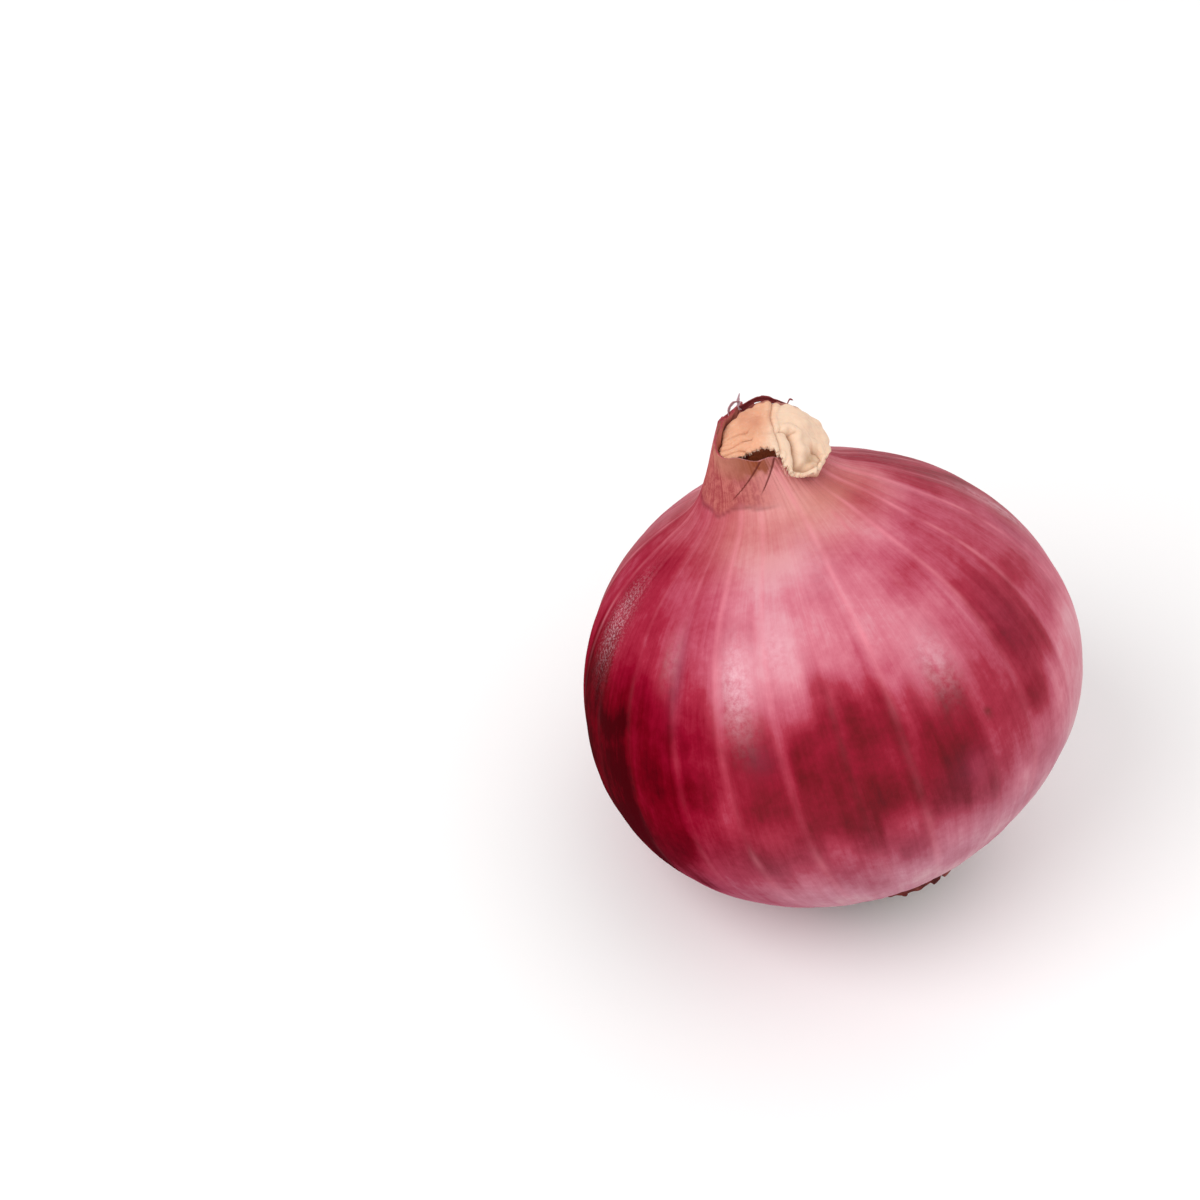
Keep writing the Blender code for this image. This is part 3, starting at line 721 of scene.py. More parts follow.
facing = add_node(tree, "GeometryNodeInputNormal", {}, {})
push = add_node(tree, "ShaderNodeVectorMath", {"operation": 'SCALE'}, {0: facing, "Scale": lift_here})
above_floor = add_node(tree, "ShaderNodeSeparateXYZ", {}, {
    0: add_node(tree, "GeometryNodeInputPosition", {}, {})}, output=2)
off_floor = add_node(tree, "FunctionNodeCompare", {"data_type": 'FLOAT', "operation": 'GREATER_THAN'},
                     {0: above_floor, 1: RELIEF_START * MM})
moved = add_node(tree, "GeometryNodeSetPosition", {}, {
    "Geometry": relief_input["Geometry"], "Selection": off_floor, "Offset": push})
end_growth(tree, moved, skin_look)
grow(bulb, tree, {
    "Vein height": VEIN_HEIGHT * MM,
    "Wrinkle depth": WRINKLE_DEPTH * MM,
    "Wrinkle scale": WRINKLE_SCALE,
})
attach(bulb, "root")
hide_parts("bulb")

# The dry leaf base: one papery flap that stands out of the neck, arches over its hollow and folds
# down at the right, where its tip is rolled under. It is crumpled, peach at its foot and cream at
# its tip, and its lower edge is frayed into short fibres.
LEAF_THICKNESS = 0.55
LEAF_ROWS = 230
LEAF_COLUMNS = 110
LEAF_CRUMPLE = 0.55
LEAF_CRUMPLE_ALONG = 4.6
LEAF_CRUMPLE_ACROSS = 2.9
LEAF_INSIDE = Vector((2.0, -1.5, 36.0))
LEAF_FRONT = (
    (-1.9, -2.8, 35.4), (-3.5, -3.3, 37.2), (-4.4, -3.4, 38.2), (-1.9, -4.2, 38.4), (0.0, -4.8, 38.9),
    (1.6, -5.3, 38.7), (2.4, -6.0, 37.6), (2.8, -7.1, 35.9), (3.5, -7.6, 34.5), (5.9, -7.1, 33.8),
)
LEAF_RIDGE = (
    (-1.6, -1.2, 35.4), (-3.1, -1.5, 38.0), (-2.6, -1.0, 40.2), (-0.2, -0.1, 41.2), (2.4, 0.6, 41.3),
    (4.4, 0.8, 40.4), (6.0, 0.8, 39.3), (7.6, 0.0, 37.4), (8.5, -1.0, 34.9), (8.6, -3.0, 33.7),
)
LEAF_BACK = (
    (-0.9, 0.3, 35.6), (-1.2, 0.3, 37.6), (-0.6, 0.5, 39.3), (1.2, 1.6, 39.8), (3.0, 2.2, 39.8),
    (5.0, 2.3, 39.0), (6.6, 2.0, 37.6), (8.0, 1.0, 35.6), (8.8, -0.8, 34.0), (8.8, -2.6, 33.4),
)

# Creases in the leaf: their points as shares along and across it, their depth and their width
CREASES = (
    (((0.50, 0.95), (0.52, 0.70), (0.525, 0.33), (0.575, 0.17), (0.617, 0.08), (0.68, 0.0)),
     0.36, 0.26),
    (((0.617, 0.167), (0.683, 0.183), (0.733, 0.233)), 0.30, 0.24),
    (((0.708, 0.183), (0.767, 0.117), (0.842, 0.05), (0.883, 0.067), (0.933, 0.067), (0.975, 0.10)),
     0.75, 0.42),
    (((0.975, 0.10), (0.967, 0.25), (0.917, 0.30), (0.883, 0.267)), 0.50, 0.40),
    (((0.18, 0.16), (0.27, 0.10), (0.34, 0.13), (0.42, 0.08)), 0.34, 0.22),
    (((0.20, 0.30), (0.30, 0.24), (0.38, 0.20)), 0.20, 0.20),
    (((0.24, 0.03), (0.31, 0.055), (0.36, 0.02)), 0.28, 0.18),
)

# The hollow where the tip rolls under, by shares along and across the leaf
POCKET_MIDDLE = (0.905, 0.185)
POCKET_WIDTHS = (0.045, 0.075)
POCKET_DEPTH = 0.6

# The frayed edge: depth as a share of the width, waves along the leaf, and where its noise is read
FRAYS = ((0.020, 34.0, 3.0), (0.012, 110.0, 5.0))


def curve_point(points, share):
    """Point on a smooth curve through the given points, share running from 0 to 1."""
    spot = share * (len(points) - 1)
    first = min(int(spot), len(points) - 2)
    part = spot - first
    before = Vector(points[max(first - 1, 0)])
    start = Vector(points[first])
    end = Vector(points[first + 1])
    after = Vector(points[min(first + 2, len(points) - 1)])
    bend = 2.0 * before - 5.0 * start + 4.0 * end - after
    twist = 3.0 * start - before - 3.0 * end + after
    return start + 0.5 * ((end - before) * part + bend * part ** 2 + twist * part ** 3)


def leaf_point(along, across):
    """Point of the leaf's middle surface: an arch from the front edge over the ridge to the back."""
    front = curve_point(LEAF_FRONT, along)
    ridge = curve_point(LEAF_RIDGE, along)
    back = curve_point(LEAF_BACK, along)
    handle = 2.0 * ridge - 0.5 * (front + back)
    other = 1.0 - across
    point = front * other ** 2 + handle * 2.0 * across * other + back * across ** 2
    spot = Vector((LEAF_CRUMPLE_ALONG * along, LEAF_CRUMPLE_ACROSS * across, 1.0))
    return point + LEAF_CRUMPLE * noise.noise(spot) * (ridge - LEAF_INSIDE).normalized()


def line_distance(points, line):
    """Distance of points to a line through several others, all in the same plane."""
    best = np.full(points.shape[:-1], 1e9)
    for start, end in zip(line, line[1:]):
        start, end = np.array(start), np.array(end)
        way = end - start
        share = np.clip(((points - start) @ way) / (way @ way), 0.0, 1.0)
        best = np.minimum(best, np.linalg.norm(points - start - share[..., None] * way, axis=-1))
    return best


along = np.linspace(0.0, 1.0, LEAF_ROWS + 1)
across = np.linspace(0.0, 1.0, LEAF_COLUMNS + 1)
frayed = np.array([sum(depth * noise.noise((count * share, 0.0, spot)) for depth, count, spot in FRAYS)
                   for share in along])
leaf_along = np.broadcast_to(along[:, None], (LEAF_ROWS + 1, LEAF_COLUMNS + 1))
leaf_across = across[None, :] * (1.0 - frayed[:, None]) + frayed[:, None]
leaf = np.array([[leaf_point(float(a), float(c)) for c in line] for a, line in zip(along, leaf_across)])


def leaf_spot(middle, widths):
    """A soft spot on the leaf, 1 in its middle, placed by shares along and across it."""
    return bump(leaf_along, middle[0], widths[0]) * bump(leaf_across, middle[1], widths[1])


# Creases are measured on an even sheet of 17 by 13 mm. The arched leaf itself is longer and narrower.
LEAF_FLAT = np.array((17.0, 13.0))
flat = np.stack((leaf_along, leaf_across), axis=-1) * LEAF_FLAT
crease_shade = np.zeros(leaf_along.shape)
leaf_lift = 0.12 * lumps(leaf, 2.6, 21) + 0.05 * lumps(leaf, 1.1, 22)
# Each crease is sunk into the leaf, and crease_shade darkens it: painted shade, darker where the crease
# is deeper.
for line, depth, width in CREASES:
    away = line_distance(flat, np.array(line) * LEAF_FLAT)
    leaf_lift += -depth * bump(away, 0.0, width) + 0.4 * depth * bump(away, 2.2 * width, width)
    crease_shade = np.maximum(crease_shade, bump(away, 0.0, 0.7 * width) * min(1.0, 0.4 + depth))
pocket = leaf_spot(POCKET_MIDDLE, POCKET_WIDTHS)
leaf_lift -= POCKET_DEPTH * pocket
leaf_lift *= smooth_step(leaf_along / 0.12)
tangent_along = np.gradient(leaf, axis=0)
tangent_across = np.gradient(leaf, axis=1)
leaf_normal = np.cross(tangent_along, tangent_across)
leaf_normal /= np.linalg.norm(leaf_normal, axis=-1, keepdims=True)
leaf = leaf + leaf_lift[..., None] * leaf_normal


def sheet_mesh(name, points, turned=False):
    """A mesh from a grid of points, with its faces turned over if asked."""
    index = np.arange(points[..., 0].size).reshape(points.shape[:2])
    corners = [index[:-1, :-1], index[1:, :-1], index[1:, 1:], index[:-1, 1:]]
    if turned:
        corners = [corners[0], corners[3], corners[2], corners[1]]
    faces = np.stack(corners, axis=-1).reshape(-1, 4)
    made = bpy.data.meshes.new(name)
    made.from_pydata(in_world(points.reshape(-1, 3)).tolist(), [], faces.tolist())
    return made


def thicken(thing, thickness):
    """Gives a sheet this thickness in millimetres, half of it on either side."""
    solid = thing.modifiers.new("thickness", 'SOLIDIFY')
    solid.thickness = MM * thickness
    solid.offset = 0.0
    finished_mesh(thing)


mesh = sheet_mesh("onion_neck_leaf", leaf)
blush = leaf_spot((0.433, 0.267), (0.05, 0.10)) + 0.6 * leaf_spot((0.36, 0.45), (0.05, 0.2))
back_skin = smooth_step((leaf_across - 0.56 + 0.05 * lumps(leaf, 2.0, 23)) / 0.05)
back_skin *= smooth_step((0.74 - leaf_along) / 0.1)
LEAF_MASKS = {"along": leaf_along, "across": leaf_across, "crease": crease_shade, "pocket": pocket,
              "blush": blush, "back_skin": back_skin}
for name, values in LEAF_MASKS.items():
    keep_attribute(mesh, name, values)
neck_leaf = add_piece("onion_neck_leaf", mesh)
thicken(neck_leaf, LEAF_THICKNESS)

PEACH = (0.72, 0.365, 0.225)
CREAM = (0.78, 0.56, 0.41)
LEAF_PALE = (0.84, 0.64, 0.50)
LEAF_BROWN = (0.36, 0.15, 0.07)
LEAF_BLUSH = (0.52, 0.19, 0.11)
POCKET_SHADE = (0.46, 0.28, 0.15)
BACK_SKIN = (0.27, 0.04, 0.035)
leaf_look, tree = new_material("dry_leaf_paper")
leaf_place = own_place(tree)
fibre_place = add_node(tree, "ShaderNodeCombineXYZ", {}, {
    0: kept(tree, "along") * 6.0, 1: kept(tree, "across") * 42.0})
fibres = speckle(tree, fibre_place, 1.0, 5.0, 0.6)
stains = speckle(tree, leaf_place, 420.0, 4.0, 0.6)
grit = speckle(tree, leaf_place, 2600.0, 3.0, 0.6)
tip = (kept(tree, "along") + 0.10 * (stains - 0.5)).over(0.44, 0.62)
colour = paint(tree, tip, PEACH, CREAM)
colour = paint(tree, 0.35 * fibres.over(0.5, 0.8), colour, LEAF_BLUSH)
colour = paint(tree, 0.3 * grit.over(0.5, 0.75), colour, LEAF_PALE)
colour = paint(tree, (0.75 * kept(tree, "blush") * (0.4 + stains)).held(), colour, LEAF_BLUSH)
# Painted shade in the hollow under the rolled tip.
colour = paint(tree, (0.8 * kept(tree, "pocket") * (0.4 + stains)).held(), colour, POCKET_SHADE)
# Painted shade along the creases.
colour = paint(tree, (0.7 * kept(tree, "crease")).held(), colour, LEAF_BROWN)
foot = (0.16 - kept(tree, "along")).over(0.0, 0.12)
colour = paint(tree, 0.8 * foot, colour, LEAF_BROWN)
colour = paint(tree, 0.85 * kept(tree, "back_skin"), colour, BACK_SKIN)
finish_surface(tree, {
    "Base Color": colour,
    "Roughness": 0.62 + 0.2 * grit,
    "Specular IOR Level": 0.3,
    "Subsurface Weight": 0.15,
    "Subsurface Radius": (0.002, 0.001, 0.0005),
    "Subsurface Scale": 0.5,
    "Normal": relief(tree, 0.6 * fibres + 0.4 * grit, 0.00012, 0.6),
})
neck_leaf.data.materials.clear()
neck_leaf.data.materials.append(leaf_look)
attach(neck_leaf, "root")
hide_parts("neck_leaf")

# Short pale fibres hang from the leaf's frayed lower edge, and under its folded tip a few longer ones
# stand in a tuft. They are the torn ends of the fibres in the dry leaf.
FRINGE_COUNT = 130
FRINGE_POINTS = 5
FRINGE_LENGTHS = (0.1, 0.32)
FRINGE_GIRTH = 0.024
FRINGE_GIRTH_SPREAD = (0.7, 1.3)
FRINGE_SIDES = 5
FRINGE_START = 0.22
FRINGE_SWING = 0.5
FRINGE_DROOP = Vector((0.0, -0.1, -0.35))
TUFT_MIDDLE = 0.78
TUFT_SPREAD = 0.05
TUFT_LENGTH = 0.9
TUFT_SHARES = (0.2, 1.0)
TUBE_TAPER = 0.35
FRINGE_COLOURS = ((0.0, (0.66, 0.42, 0.28)), (1.0, (0.88, 0.74, 0.62)))


def lines_mesh(name, lines):
    """A mesh of open lines for tubes to follow, each with its points, its girth and its tone."""
    spots, edges, girths, tones = [], [], [], []
    for points, girth, tone in lines:
        first = len(spots)
        edges += [(first + step, first + step + 1) for step in range(len(points) - 1)]
        spots += in_world([tuple(point) for point in points]).tolist()
        girths += [girth * (1.0 - TUBE_TAPER * step / len(points)) for step in range(len(points))]
        tones += [tone] * len(points)
    made = bpy.data.meshes.new(name)
    made.from_pydata(spots, edges, [])
    keep_attribute(made, "girth", girths)
    keep_attribute(made, "tone", tones)
    return made


def tube_growth(name, look):
    """A tree that sweeps a small circle along each line of its mesh."""
    tree, way_in = new_growth(name)
    named_input(tree, "Sides", 'NodeSocketInt', 6)
    named_input(tree, "Size", 'NodeSocketFloat', 1.0)
    given = {item.name: Value(tree, item) for item in way_in.outputs if item.name}
    girth = mesh_value(tree, "girth", 'FLOAT')
    path = add_node(tree, "GeometryNodeMeshToCurve", {}, {"Mesh": given["Geometry"]})
    ring = add_node(tree, "GeometryNodeCurvePrimitiveCircle", {}, {
        "Resolution": given["Sides"], "Radius": 1.0})
    tubes = add_node(tree, "GeometryNodeCurveToMesh", {}, {
        "Curve": path, "Profile Curve": ring, "Scale": girth * given["Size"], "Fill Caps": True})
    end_growth(tree, tubes, look)
    return tree


draw = random.Random(17)
lines = []
for _ in range(FRINGE_COUNT):
    place_along = draw.uniform(FRINGE_START, 1.0)
    row = round(place_along * LEAF_ROWS)
    foot = Vector(leaf[row, 1])
    away = (foot - Vector(leaf[row, 6])).normalized()
    tuft = math.exp(-((place_along - TUFT_MIDDLE) / TUFT_SPREAD) ** 2)
    length = draw.uniform(*FRINGE_LENGTHS) + tuft * draw.uniform(*TUFT_SHARES) * TUFT_LENGTH
    swing = Vector([draw.uniform(-FRINGE_SWING, FRINGE_SWING) for _ in range(3)]) + FRINGE_DROOP
    parts = np.linspace(0.0, 1.0, FRINGE_POINTS).tolist()
    points = [foot + length * part * (away + part * swing) for part in parts]
    lines.append((points, FRINGE_GIRTH * draw.uniform(*FRINGE_GIRTH_SPREAD), draw.random()))
fringe = add_piece("onion_leaf_fringe", lines_mesh("onion_leaf_fringe", lines))
fringe_look, tree = new_material("pale_leaf_fibres")
finish_surface(tree, {
    "Base Color": colours(tree, kept(tree, "tone"), FRINGE_COLOURS),
    "Roughness": 0.7,
    "Specular IOR Level": 0.2,
})
grow(fringe, tube_growth("leaf_fibres", fringe_look), {"Sides": FRINGE_SIDES, "Size": MM})
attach(fringe, "root")

# Scraps of the sleeve's outermost skin peel from its tall left side: thin curled wisps, small flaps,
# and a thin dark strip that runs behind the leaf. Each has its points, its width in millimetres, the
# way its width runs and its tone.
SCRAP_THICKNESS = 0.1
SCRAP_STEPS = 26
SCRAP_ROWS = 5
SCRAP_RAGGEDNESS = 0.5
SCRAP_LEAST_WIDTH = 0.08
SCRAP_CUP = 0.7
SCRAP_CUP_WAY = Vector((0.0, -1.0, 0.3))
SCRAPS = (
    (((0.2, 2.9, 41.0), (0.35, 3.1, 42.2), (0.8, 3.2, 43.1)), 0.45, (0.8, 0.2, -0.3), 1.0),
    (((-1.5, 1.5, 41.0), (-1.2, 2.1, 42.0), (-0.3, 2.7, 42.4), (0.6, 3.1, 42.0)),
     0.45, (0.3, 0.3, -0.9), 0.75),
    (((-2.9, 0.3, 40.2), (-2.4, 0.0, 40.7), (-2.0, -0.3, 40.4)), 0.6, (0.4, 0.3, 0.8), 0.7),
    (((-3.6, -0.6, 39.0), (-3.2, -0.9, 39.6), (-2.8, -1.1, 39.3)), 0.5, (0.4, 0.3, 0.8), 0.55),
    (((0.2, 3.0, 41.0), (2.4, 3.3, 41.4), (3.8, 3.4, 40.9), (5.2, 3.2, 40.0), (6.6, 2.9, 39.0)),
     1.1, (0.0, 0.3, -1.0), 0.05),
    (((6.0, 2.9, 39.3), (6.6, 3.0, 39.9), (7.0, 3.1, 39.6)), 0.3, (0.3, 0.0, 0.8), 0.3),
)
SCRAP_COLOURS = ((0.0, (0.22, 0.028, 0.03)), (0.5, (0.36, 0.11, 0.12)), (1.0, (0.56, 0.38, 0.42)))

spots, faces, tones = [], [], []
for number, (path, width, side, tone) in enumerate(SCRAPS):
    first = len(spots)
    for step in range(SCRAP_STEPS + 1):
        share = step / SCRAP_STEPS
        middle = curve_point(path, share)
        ragged = 1.0 + SCRAP_RAGGEDNESS * noise.noise((9.0 * share, 3.1 * number, 0.5))
        wide = width * ragged * max(1.0 - share ** 4, SCRAP_LEAST_WIDTH)
        for row in range(SCRAP_ROWS):
            across_share = row / (SCRAP_ROWS - 1) - 0.5
            cupped = SCRAP_CUP_WAY * (SCRAP_CUP * width * across_share ** 2)
            spots.append(tuple(middle + Vector(side) * (wide * across_share) + cupped))
            tones.append(tone)
            if step < SCRAP_STEPS and row < SCRAP_ROWS - 1:
                corner = first + step * SCRAP_ROWS + row
                faces.append((corner, corner + SCRAP_ROWS, corner + SCRAP_ROWS + 1, corner + 1))
mesh = bpy.data.meshes.new("onion_neck_scraps")
mesh.from_pydata(in_world(spots).tolist(), [], faces)
keep_attribute(mesh, "tone", tones)
scraps = add_piece("onion_neck_scraps", mesh)
thicken(scraps, SCRAP_THICKNESS)
scrap_look, tree = new_material("peeling_skin_scraps")
scrap_tone = kept(tree, "tone") + 0.5 * (speckle(tree, own_place(tree), 1500.0, 4.0, 0.6) - 0.5)
finish_surface(tree, {
    "Base Color": colours(tree, scrap_tone.held(), SCRAP_COLOURS),
    "Roughness": 0.6,
    "Specular IOR Level": 0.2,
})
scraps.data.materials.append(scrap_look)
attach(scraps, "root")

# The root plate is a low corky disc in the dish under the bulb. It is set with a thick bunch of dry
# roots that were trimmed short after harvest, and clears the table because the onion leans.
PLATE_RADIUS = 7.0
PLATE_EDGE = 0.5
PLATE_THICKNESS = 1.6
PLATE_GAP = 0.35
PLATE_COLUMNS = 96
PLATE_ROWS = 20
PLATE_BUMPS = 0.12
PLATE_INNER_RING = 3.0
ROOT_COUNT = 90
ROOT_POINTS = 7
ROOT_SIDES = 10
ROOT_GIRTHS = (0.34, 0.6)
ROOT_LENGTHS = (1.5, 3.3)
ROOT_SUNK = 0.4
ROOT_SPLAY = 0.95
ROOT_SCATTER = 0.35
ROOT_BEND = 0.5
ROOT_MARGIN = 0.8
ROOT_STRAY = 0.15
ROOT_TONES = (0.3, 1.0)
FLOOR_ROOM = 0.75
GOLDEN_ANGLE = math.pi * (3.0 - math.sqrt(5.0))
ROOT_SHADES = ((0.0, (0.10, 0.05, 0.03)), (0.35, (0.26, 0.15, 0.08)), (1.0, (0.52, 0.36, 0.22)))


def plate_depth(radius):
    domed = np.sqrt(np.clip(1.0 - (radius / PLATE_RADIUS) ** 2, 0.0, 1.0))
    return base_depth(0.0) + PLATE_GAP + PLATE_EDGE + (PLATE_THICKNESS - PLATE_EDGE) * domed


dome_radius = PLATE_RADIUS * np.cos(0.5 * math.pi * np.arange(PLATE_ROWS) / PLATE_ROWS)
plate_top = base_depth(0.0) + PLATE_GAP
top_radius = [PLATE_INNER_RING, PLATE_RADIUS - PLATE_EDGE, PLATE_RADIUS]
top_down = [plate_top, plate_top, plate_top + 0.5 * PLATE_EDGE]
rings = np.concatenate((top_radius, dome_radius))[:, None]
plate_down = np.concatenate((top_down, plate_depth(dome_radius)))[:, None]
turn = np.arange(PLATE_COLUMNS) * math.tau / PLATE_COLUMNS
plate = np.stack(np.broadcast_arrays(rings * np.cos(turn), rings * np.sin(turn), -plate_down), axis=-1)
on_dome = (np.arange(len(rings)) >= len(top_radius))[:, None]
plate[..., 2] += PLATE_BUMPS * lumps(plate, 1.6, 31) * on_dome
corky = add_piece("onion_root_plate", closed_mesh("onion_root_plate", plate))
corky.data.shade_smooth()

draw = random.Random(7)
lines = []
for number in range(ROOT_COUNT):
    share = math.sqrt((number + 0.5) / ROOT_COUNT)
    turned = number * GOLDEN_ANGLE + draw.uniform(-ROOT_STRAY, ROOT_STRAY)
    out = (PLATE_RADIUS - ROOT_MARGIN) * share
    foot = Vector((out * math.cos(turned), out * math.sin(turned), ROOT_SUNK - float(plate_depth(out))))
    splay = ROOT_SPLAY * share
    way = Vector((math.cos(turned) * splay + draw.uniform(-ROOT_SCATTER, ROOT_SCATTER),
                  math.sin(turned) * splay + draw.uniform(-ROOT_SCATTER, ROOT_SCATTER), -1.0))
    bend = Vector([draw.uniform(-ROOT_BEND, ROOT_BEND) for _ in range(3)])
    length = ROOT_SUNK + draw.uniform(*ROOT_LENGTHS)
    parts = np.linspace(0.0, 1.0, ROOT_POINTS).tolist()
    points = [foot + way.normalized() * length * part + bend * part ** 2 for part in parts]
    points = [point for point in points if in_world(tuple(point))[2] > FLOOR_ROOM * MM]
    if len(points) > 1:
        lines.append((points, draw.uniform(*ROOT_GIRTHS), draw.uniform(*ROOT_TONES)))
roots = add_piece("onion_roots", lines_mesh("onion_roots", lines))
root_look, tree = new_material("dry_root_fibre")
root_grit = speckle(tree, own_place(tree), 1400.0, 5.0, 0.65)
root_tone = (kept(tree, "tone") + 0.6 * (root_grit - 0.5)).held()
finish_surface(tree, {
    "Base Color": colours(tree, root_tone, ROOT_SHADES),
    "Roughness": 0.8,
    "Specular IOR Level": 0.2,
    "Normal": relief(tree, root_grit, 0.0001, 0.7),
})
grow(roots, tube_growth("trimmed_roots", root_look), {"Sides": ROOT_SIDES, "Size": MM})
corky.data.materials.append(root_look)
for piece in (roots, corky):
    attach(piece, "root")
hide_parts("root_tuft")

# What is left of the old outer skin round the root plate is a thin dark collar, torn off along both
# of its edges. It dried into small curled flakes, and those on the near side stand out the most.
RAG_TOP = 12.1
RAG_WIDTH = 3.2
RAG_LEAST_WIDTH = 0.35
RAG_CURL = 0.8
RAG_LIFT = 0.6
RAG_THICKNESS = 0.28
RAG_END_TAPER = math.radians(25.0)
RAG_COLUMNS = 620
RAG_ROWS = 22
RAG_NOISE_RADIUS = 12.0
RAG_TEARS = ((5.0, 0.3, 0.5), (13.0, 0.2, 2.0), (37.0, 0.12, 1.1), (83.0, 0.08, 0.4))
FLAKE_MIDDLE = math.radians(-85.0)
FLAKE_SPAN = math.radians(36.0)
FLAKE_HEIGHT = 1.3
FLAKE_LEAST = 0.4
FLAKE_REACH = 0.45
FLAKE_NOTCH = 0.76
RAG_COLOURS = ((0.0, (0.06, 0.008, 0.008)), (0.5, (0.16, 0.025, 0.02)), (1.0, (0.36, 0.12, 0.09)))

rag_turn = np.linspace(RAG_START, RAG_END, RAG_COLUMNS + 1)[None, :]
rag_share = np.linspace(-1.0, 1.0, RAG_ROWS + 1)[:, None]
rag_off = apart(rag_turn, 0.5 * (RAG_START + RAG_END))
rag_ends = smooth_step((0.5 * (RAG_END - RAG_START) - rag_off) / RAG_END_TAPER)
rag_spot = RAG_NOISE_RADIUS * np.stack((np.cos(rag_turn), np.sin(rag_turn), 0.0 * rag_turn), axis=-1)
tear = rag_ends * (0.5 + waves(RAG_TEARS, rag_turn))
flake = FLAKE_LEAST + FLAKE_HEIGHT * bump(apart(rag_turn, FLAKE_MIDDLE), 0.0, FLAKE_SPAN)
ragged = 0.75 + 0.45 * lumps(rag_spot, 3.0, 41) + 0.2 * lumps(rag_spot, 1.1, 42)
flake = rag_ends * flake * np.clip(ragged, FLAKE_NOTCH, 1.0)
inner = np.clip(rag_share, 0.0, 1.0)
outer = np.clip(-rag_share, 0.0, 1.0)
rag_radius = RAG_TOP - inner * RAG_WIDTH * (RAG_LEAST_WIDTH + (1.0 - RAG_LEAST_WIDTH) * tear)
rag_radius = rag_radius + FLAKE_REACH * outer * flake
rag_turns = np.broadcast_to(rag_turn, rag_radius.shape)
rag_between = vein_place(rag_turns, -np.arccos(rag_radius / EQUATOR_RADIUS))[2]
rag = grown(rag_radius, rag_turns, -bowl_depth(rag_radius), rag_between)
rag_normal = rag * np.array((1.0, 1.0, (EQUATOR_RADIUS / BASE_DEPTH) ** 2))
rag_normal /= np.linalg.norm(rag_normal, axis=-1, keepdims=True)
rag_lift = RAG_LIFT + RAG_CURL * inner ** 2 * tear + outer ** 1.4 * flake + 0.08 * lumps(rag, 1.5, 43)
rag = rag + rag_lift[..., None] * rag_normal
mesh = sheet_mesh("onion_root_skin", rag, turned=True)
keep_attribute(mesh, "tone", 0.25 + 0.2 * lumps(rag, 2.0, 44) + 0.12 * outer * rag_ends)
root_skin = add_piece("onion_root_skin", mesh)
thicken(root_skin, RAG_THICKNESS)
rag_look, tree = new_material("dark_torn_skin")
rag_tone = (kept(tree, "tone") + 0.7 * (speckle(tree, own_place(tree), 900.0, 5.0, 0.65) - 0.5)).held()
finish_surface(tree, {
    "Base Color": colours(tree, rag_tone, RAG_COLOURS),
    "Roughness": 0.6,
    "Specular IOR Level": 0.2,
})
root_skin.data.materials.append(rag_look)
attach(root_skin, "root")
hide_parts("root_skin")

# The floor is a plain white table top, and the light is that of a small studio: white all round,
# and dimmer on the left, with one large soft lamp above the onion's left shoulder.
FLOOR_HALF = 1.5
FLOOR_DROP = 0.00005
floor_mesh = bpy.data.meshes.new("table_top")
floor_mesh.from_pydata([(-FLOOR_HALF, -FLOOR_HALF, -FLOOR_DROP), (FLOOR_HALF, -FLOOR_HALF, -FLOOR_DROP),
                        (FLOOR_HALF, FLOOR_HALF, -FLOOR_DROP), (-FLOOR_HALF, FLOOR_HALF, -FLOOR_DROP)],
                       [], [(0, 1, 2, 3)])
floor = add_piece("table_top", floor_mesh)
floor_look, tree = new_material("white_table_top")
finish_surface(tree, {"Base Color": (0.93, 0.93, 0.93, 1.0), "Roughness": 0.6})
floor_mesh.materials.append(floor_look)

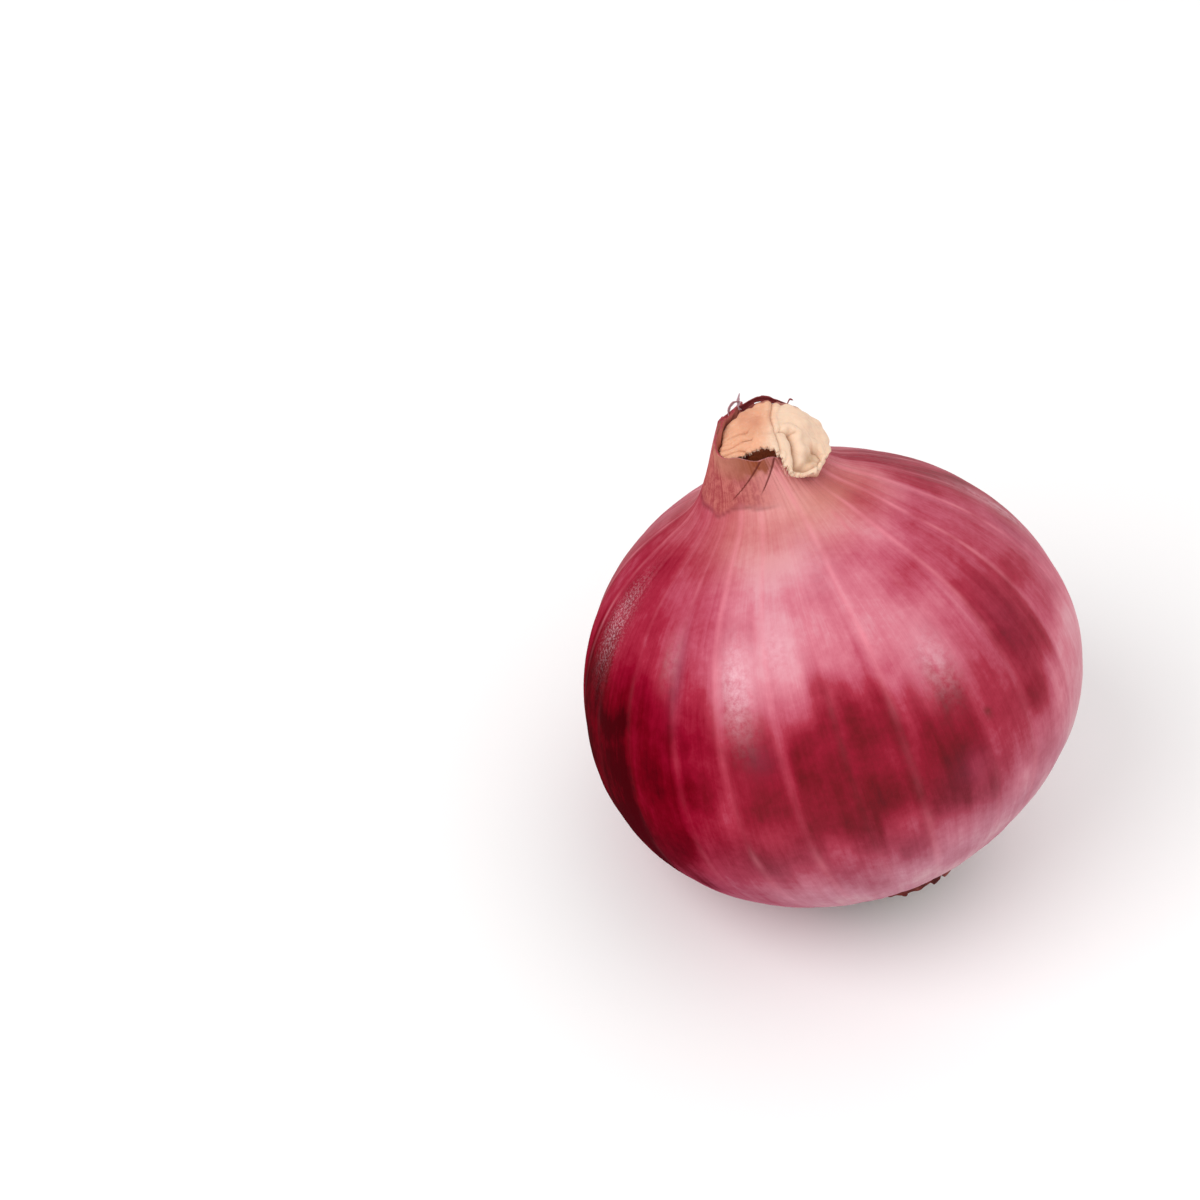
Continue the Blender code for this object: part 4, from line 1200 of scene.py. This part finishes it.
SKY_STRENGTH = 1.05
SKY_LEFT = (0.16, 0.15, 0.15)
SKY_RIGHT = (1.0, 0.99, 0.985)
studio = bpy.data.worlds.new("studio")
studio.use_nodes = True
tree = studio.node_tree
sky_way = add_node(tree, "ShaderNodeTexCoord", {}, {})
from_left = add_node(tree, "ShaderNodeSeparateXYZ", {}, {0: sky_way})
brightness = colours(tree, 0.5 + 0.5 * from_left, ((0.0, SKY_LEFT), (0.55, SKY_RIGHT)))
tree.links.new(brightness.socket, tree.nodes["Background"].inputs["Color"])
tree.nodes["Background"].inputs["Strength"].default_value = SKY_STRENGTH
bpy.context.scene.world = studio

LAMP_WAY = Vector((-0.60, -0.36, 0.71)).normalized()
LAMP_DISTANCE = 0.9
LAMP_SIZE = 0.8
LAMP_POWER = 5.0
lamp = bpy.data.lights.new("soft_lamp", 'AREA')
lamp.shape = 'DISK'
lamp.size = LAMP_SIZE
lamp.energy = LAMP_POWER
lamp_holder = bpy.data.objects.new("soft_lamp", lamp)
lamp_holder.location = onion_centre + LAMP_WAY * LAMP_DISTANCE
lamp_holder.rotation_mode = 'QUATERNION'
lamp_holder.rotation_quaternion = LAMP_WAY.to_track_quat('Z', 'Y')
bpy.context.scene.collection.objects.link(lamp_holder)

# The camera looks down at the table from the front. The onion's centre is seen at this pixel.
FRAME_SIZE = 1200.0
FOCAL_PIXELS = 3427.0
CAMERA_DISTANCE = 0.4531
CAMERA_ELEVATION = math.radians(45.0)
CENTRE_SEEN_AT = (832.6, 683.8)
SENSOR_WIDTH = 36.0
camera = bpy.data.cameras.new("camera")
camera.sensor_width = SENSOR_WIDTH
camera.sensor_fit = 'HORIZONTAL'
camera.lens = SENSOR_WIDTH * FOCAL_PIXELS / FRAME_SIZE
camera.clip_start = 0.01
right = Vector((1.0, 0.0, 0.0))
up = Vector((0.0, math.sin(CAMERA_ELEVATION), math.cos(CAMERA_ELEVATION)))
back = right.cross(up)
per_pixel = CAMERA_DISTANCE / FOCAL_PIXELS
eye = onion_centre + back * CAMERA_DISTANCE
eye -= right * ((CENTRE_SEEN_AT[0] - 0.5 * FRAME_SIZE) * per_pixel)
eye += up * ((CENTRE_SEEN_AT[1] - 0.5 * FRAME_SIZE) * per_pixel)
camera_holder = bpy.data.objects.new("camera", camera)
camera_holder.matrix_world = Matrix((
    (right.x, up.x, back.x, eye.x), (right.y, up.y, back.y, eye.y),
    (right.z, up.z, back.z, eye.z), (0.0, 0.0, 0.0, 1.0)))
bpy.context.scene.collection.objects.link(camera_holder)
bpy.context.scene.camera = camera_holder
bpy.context.scene.view_settings.view_transform = 'Standard'
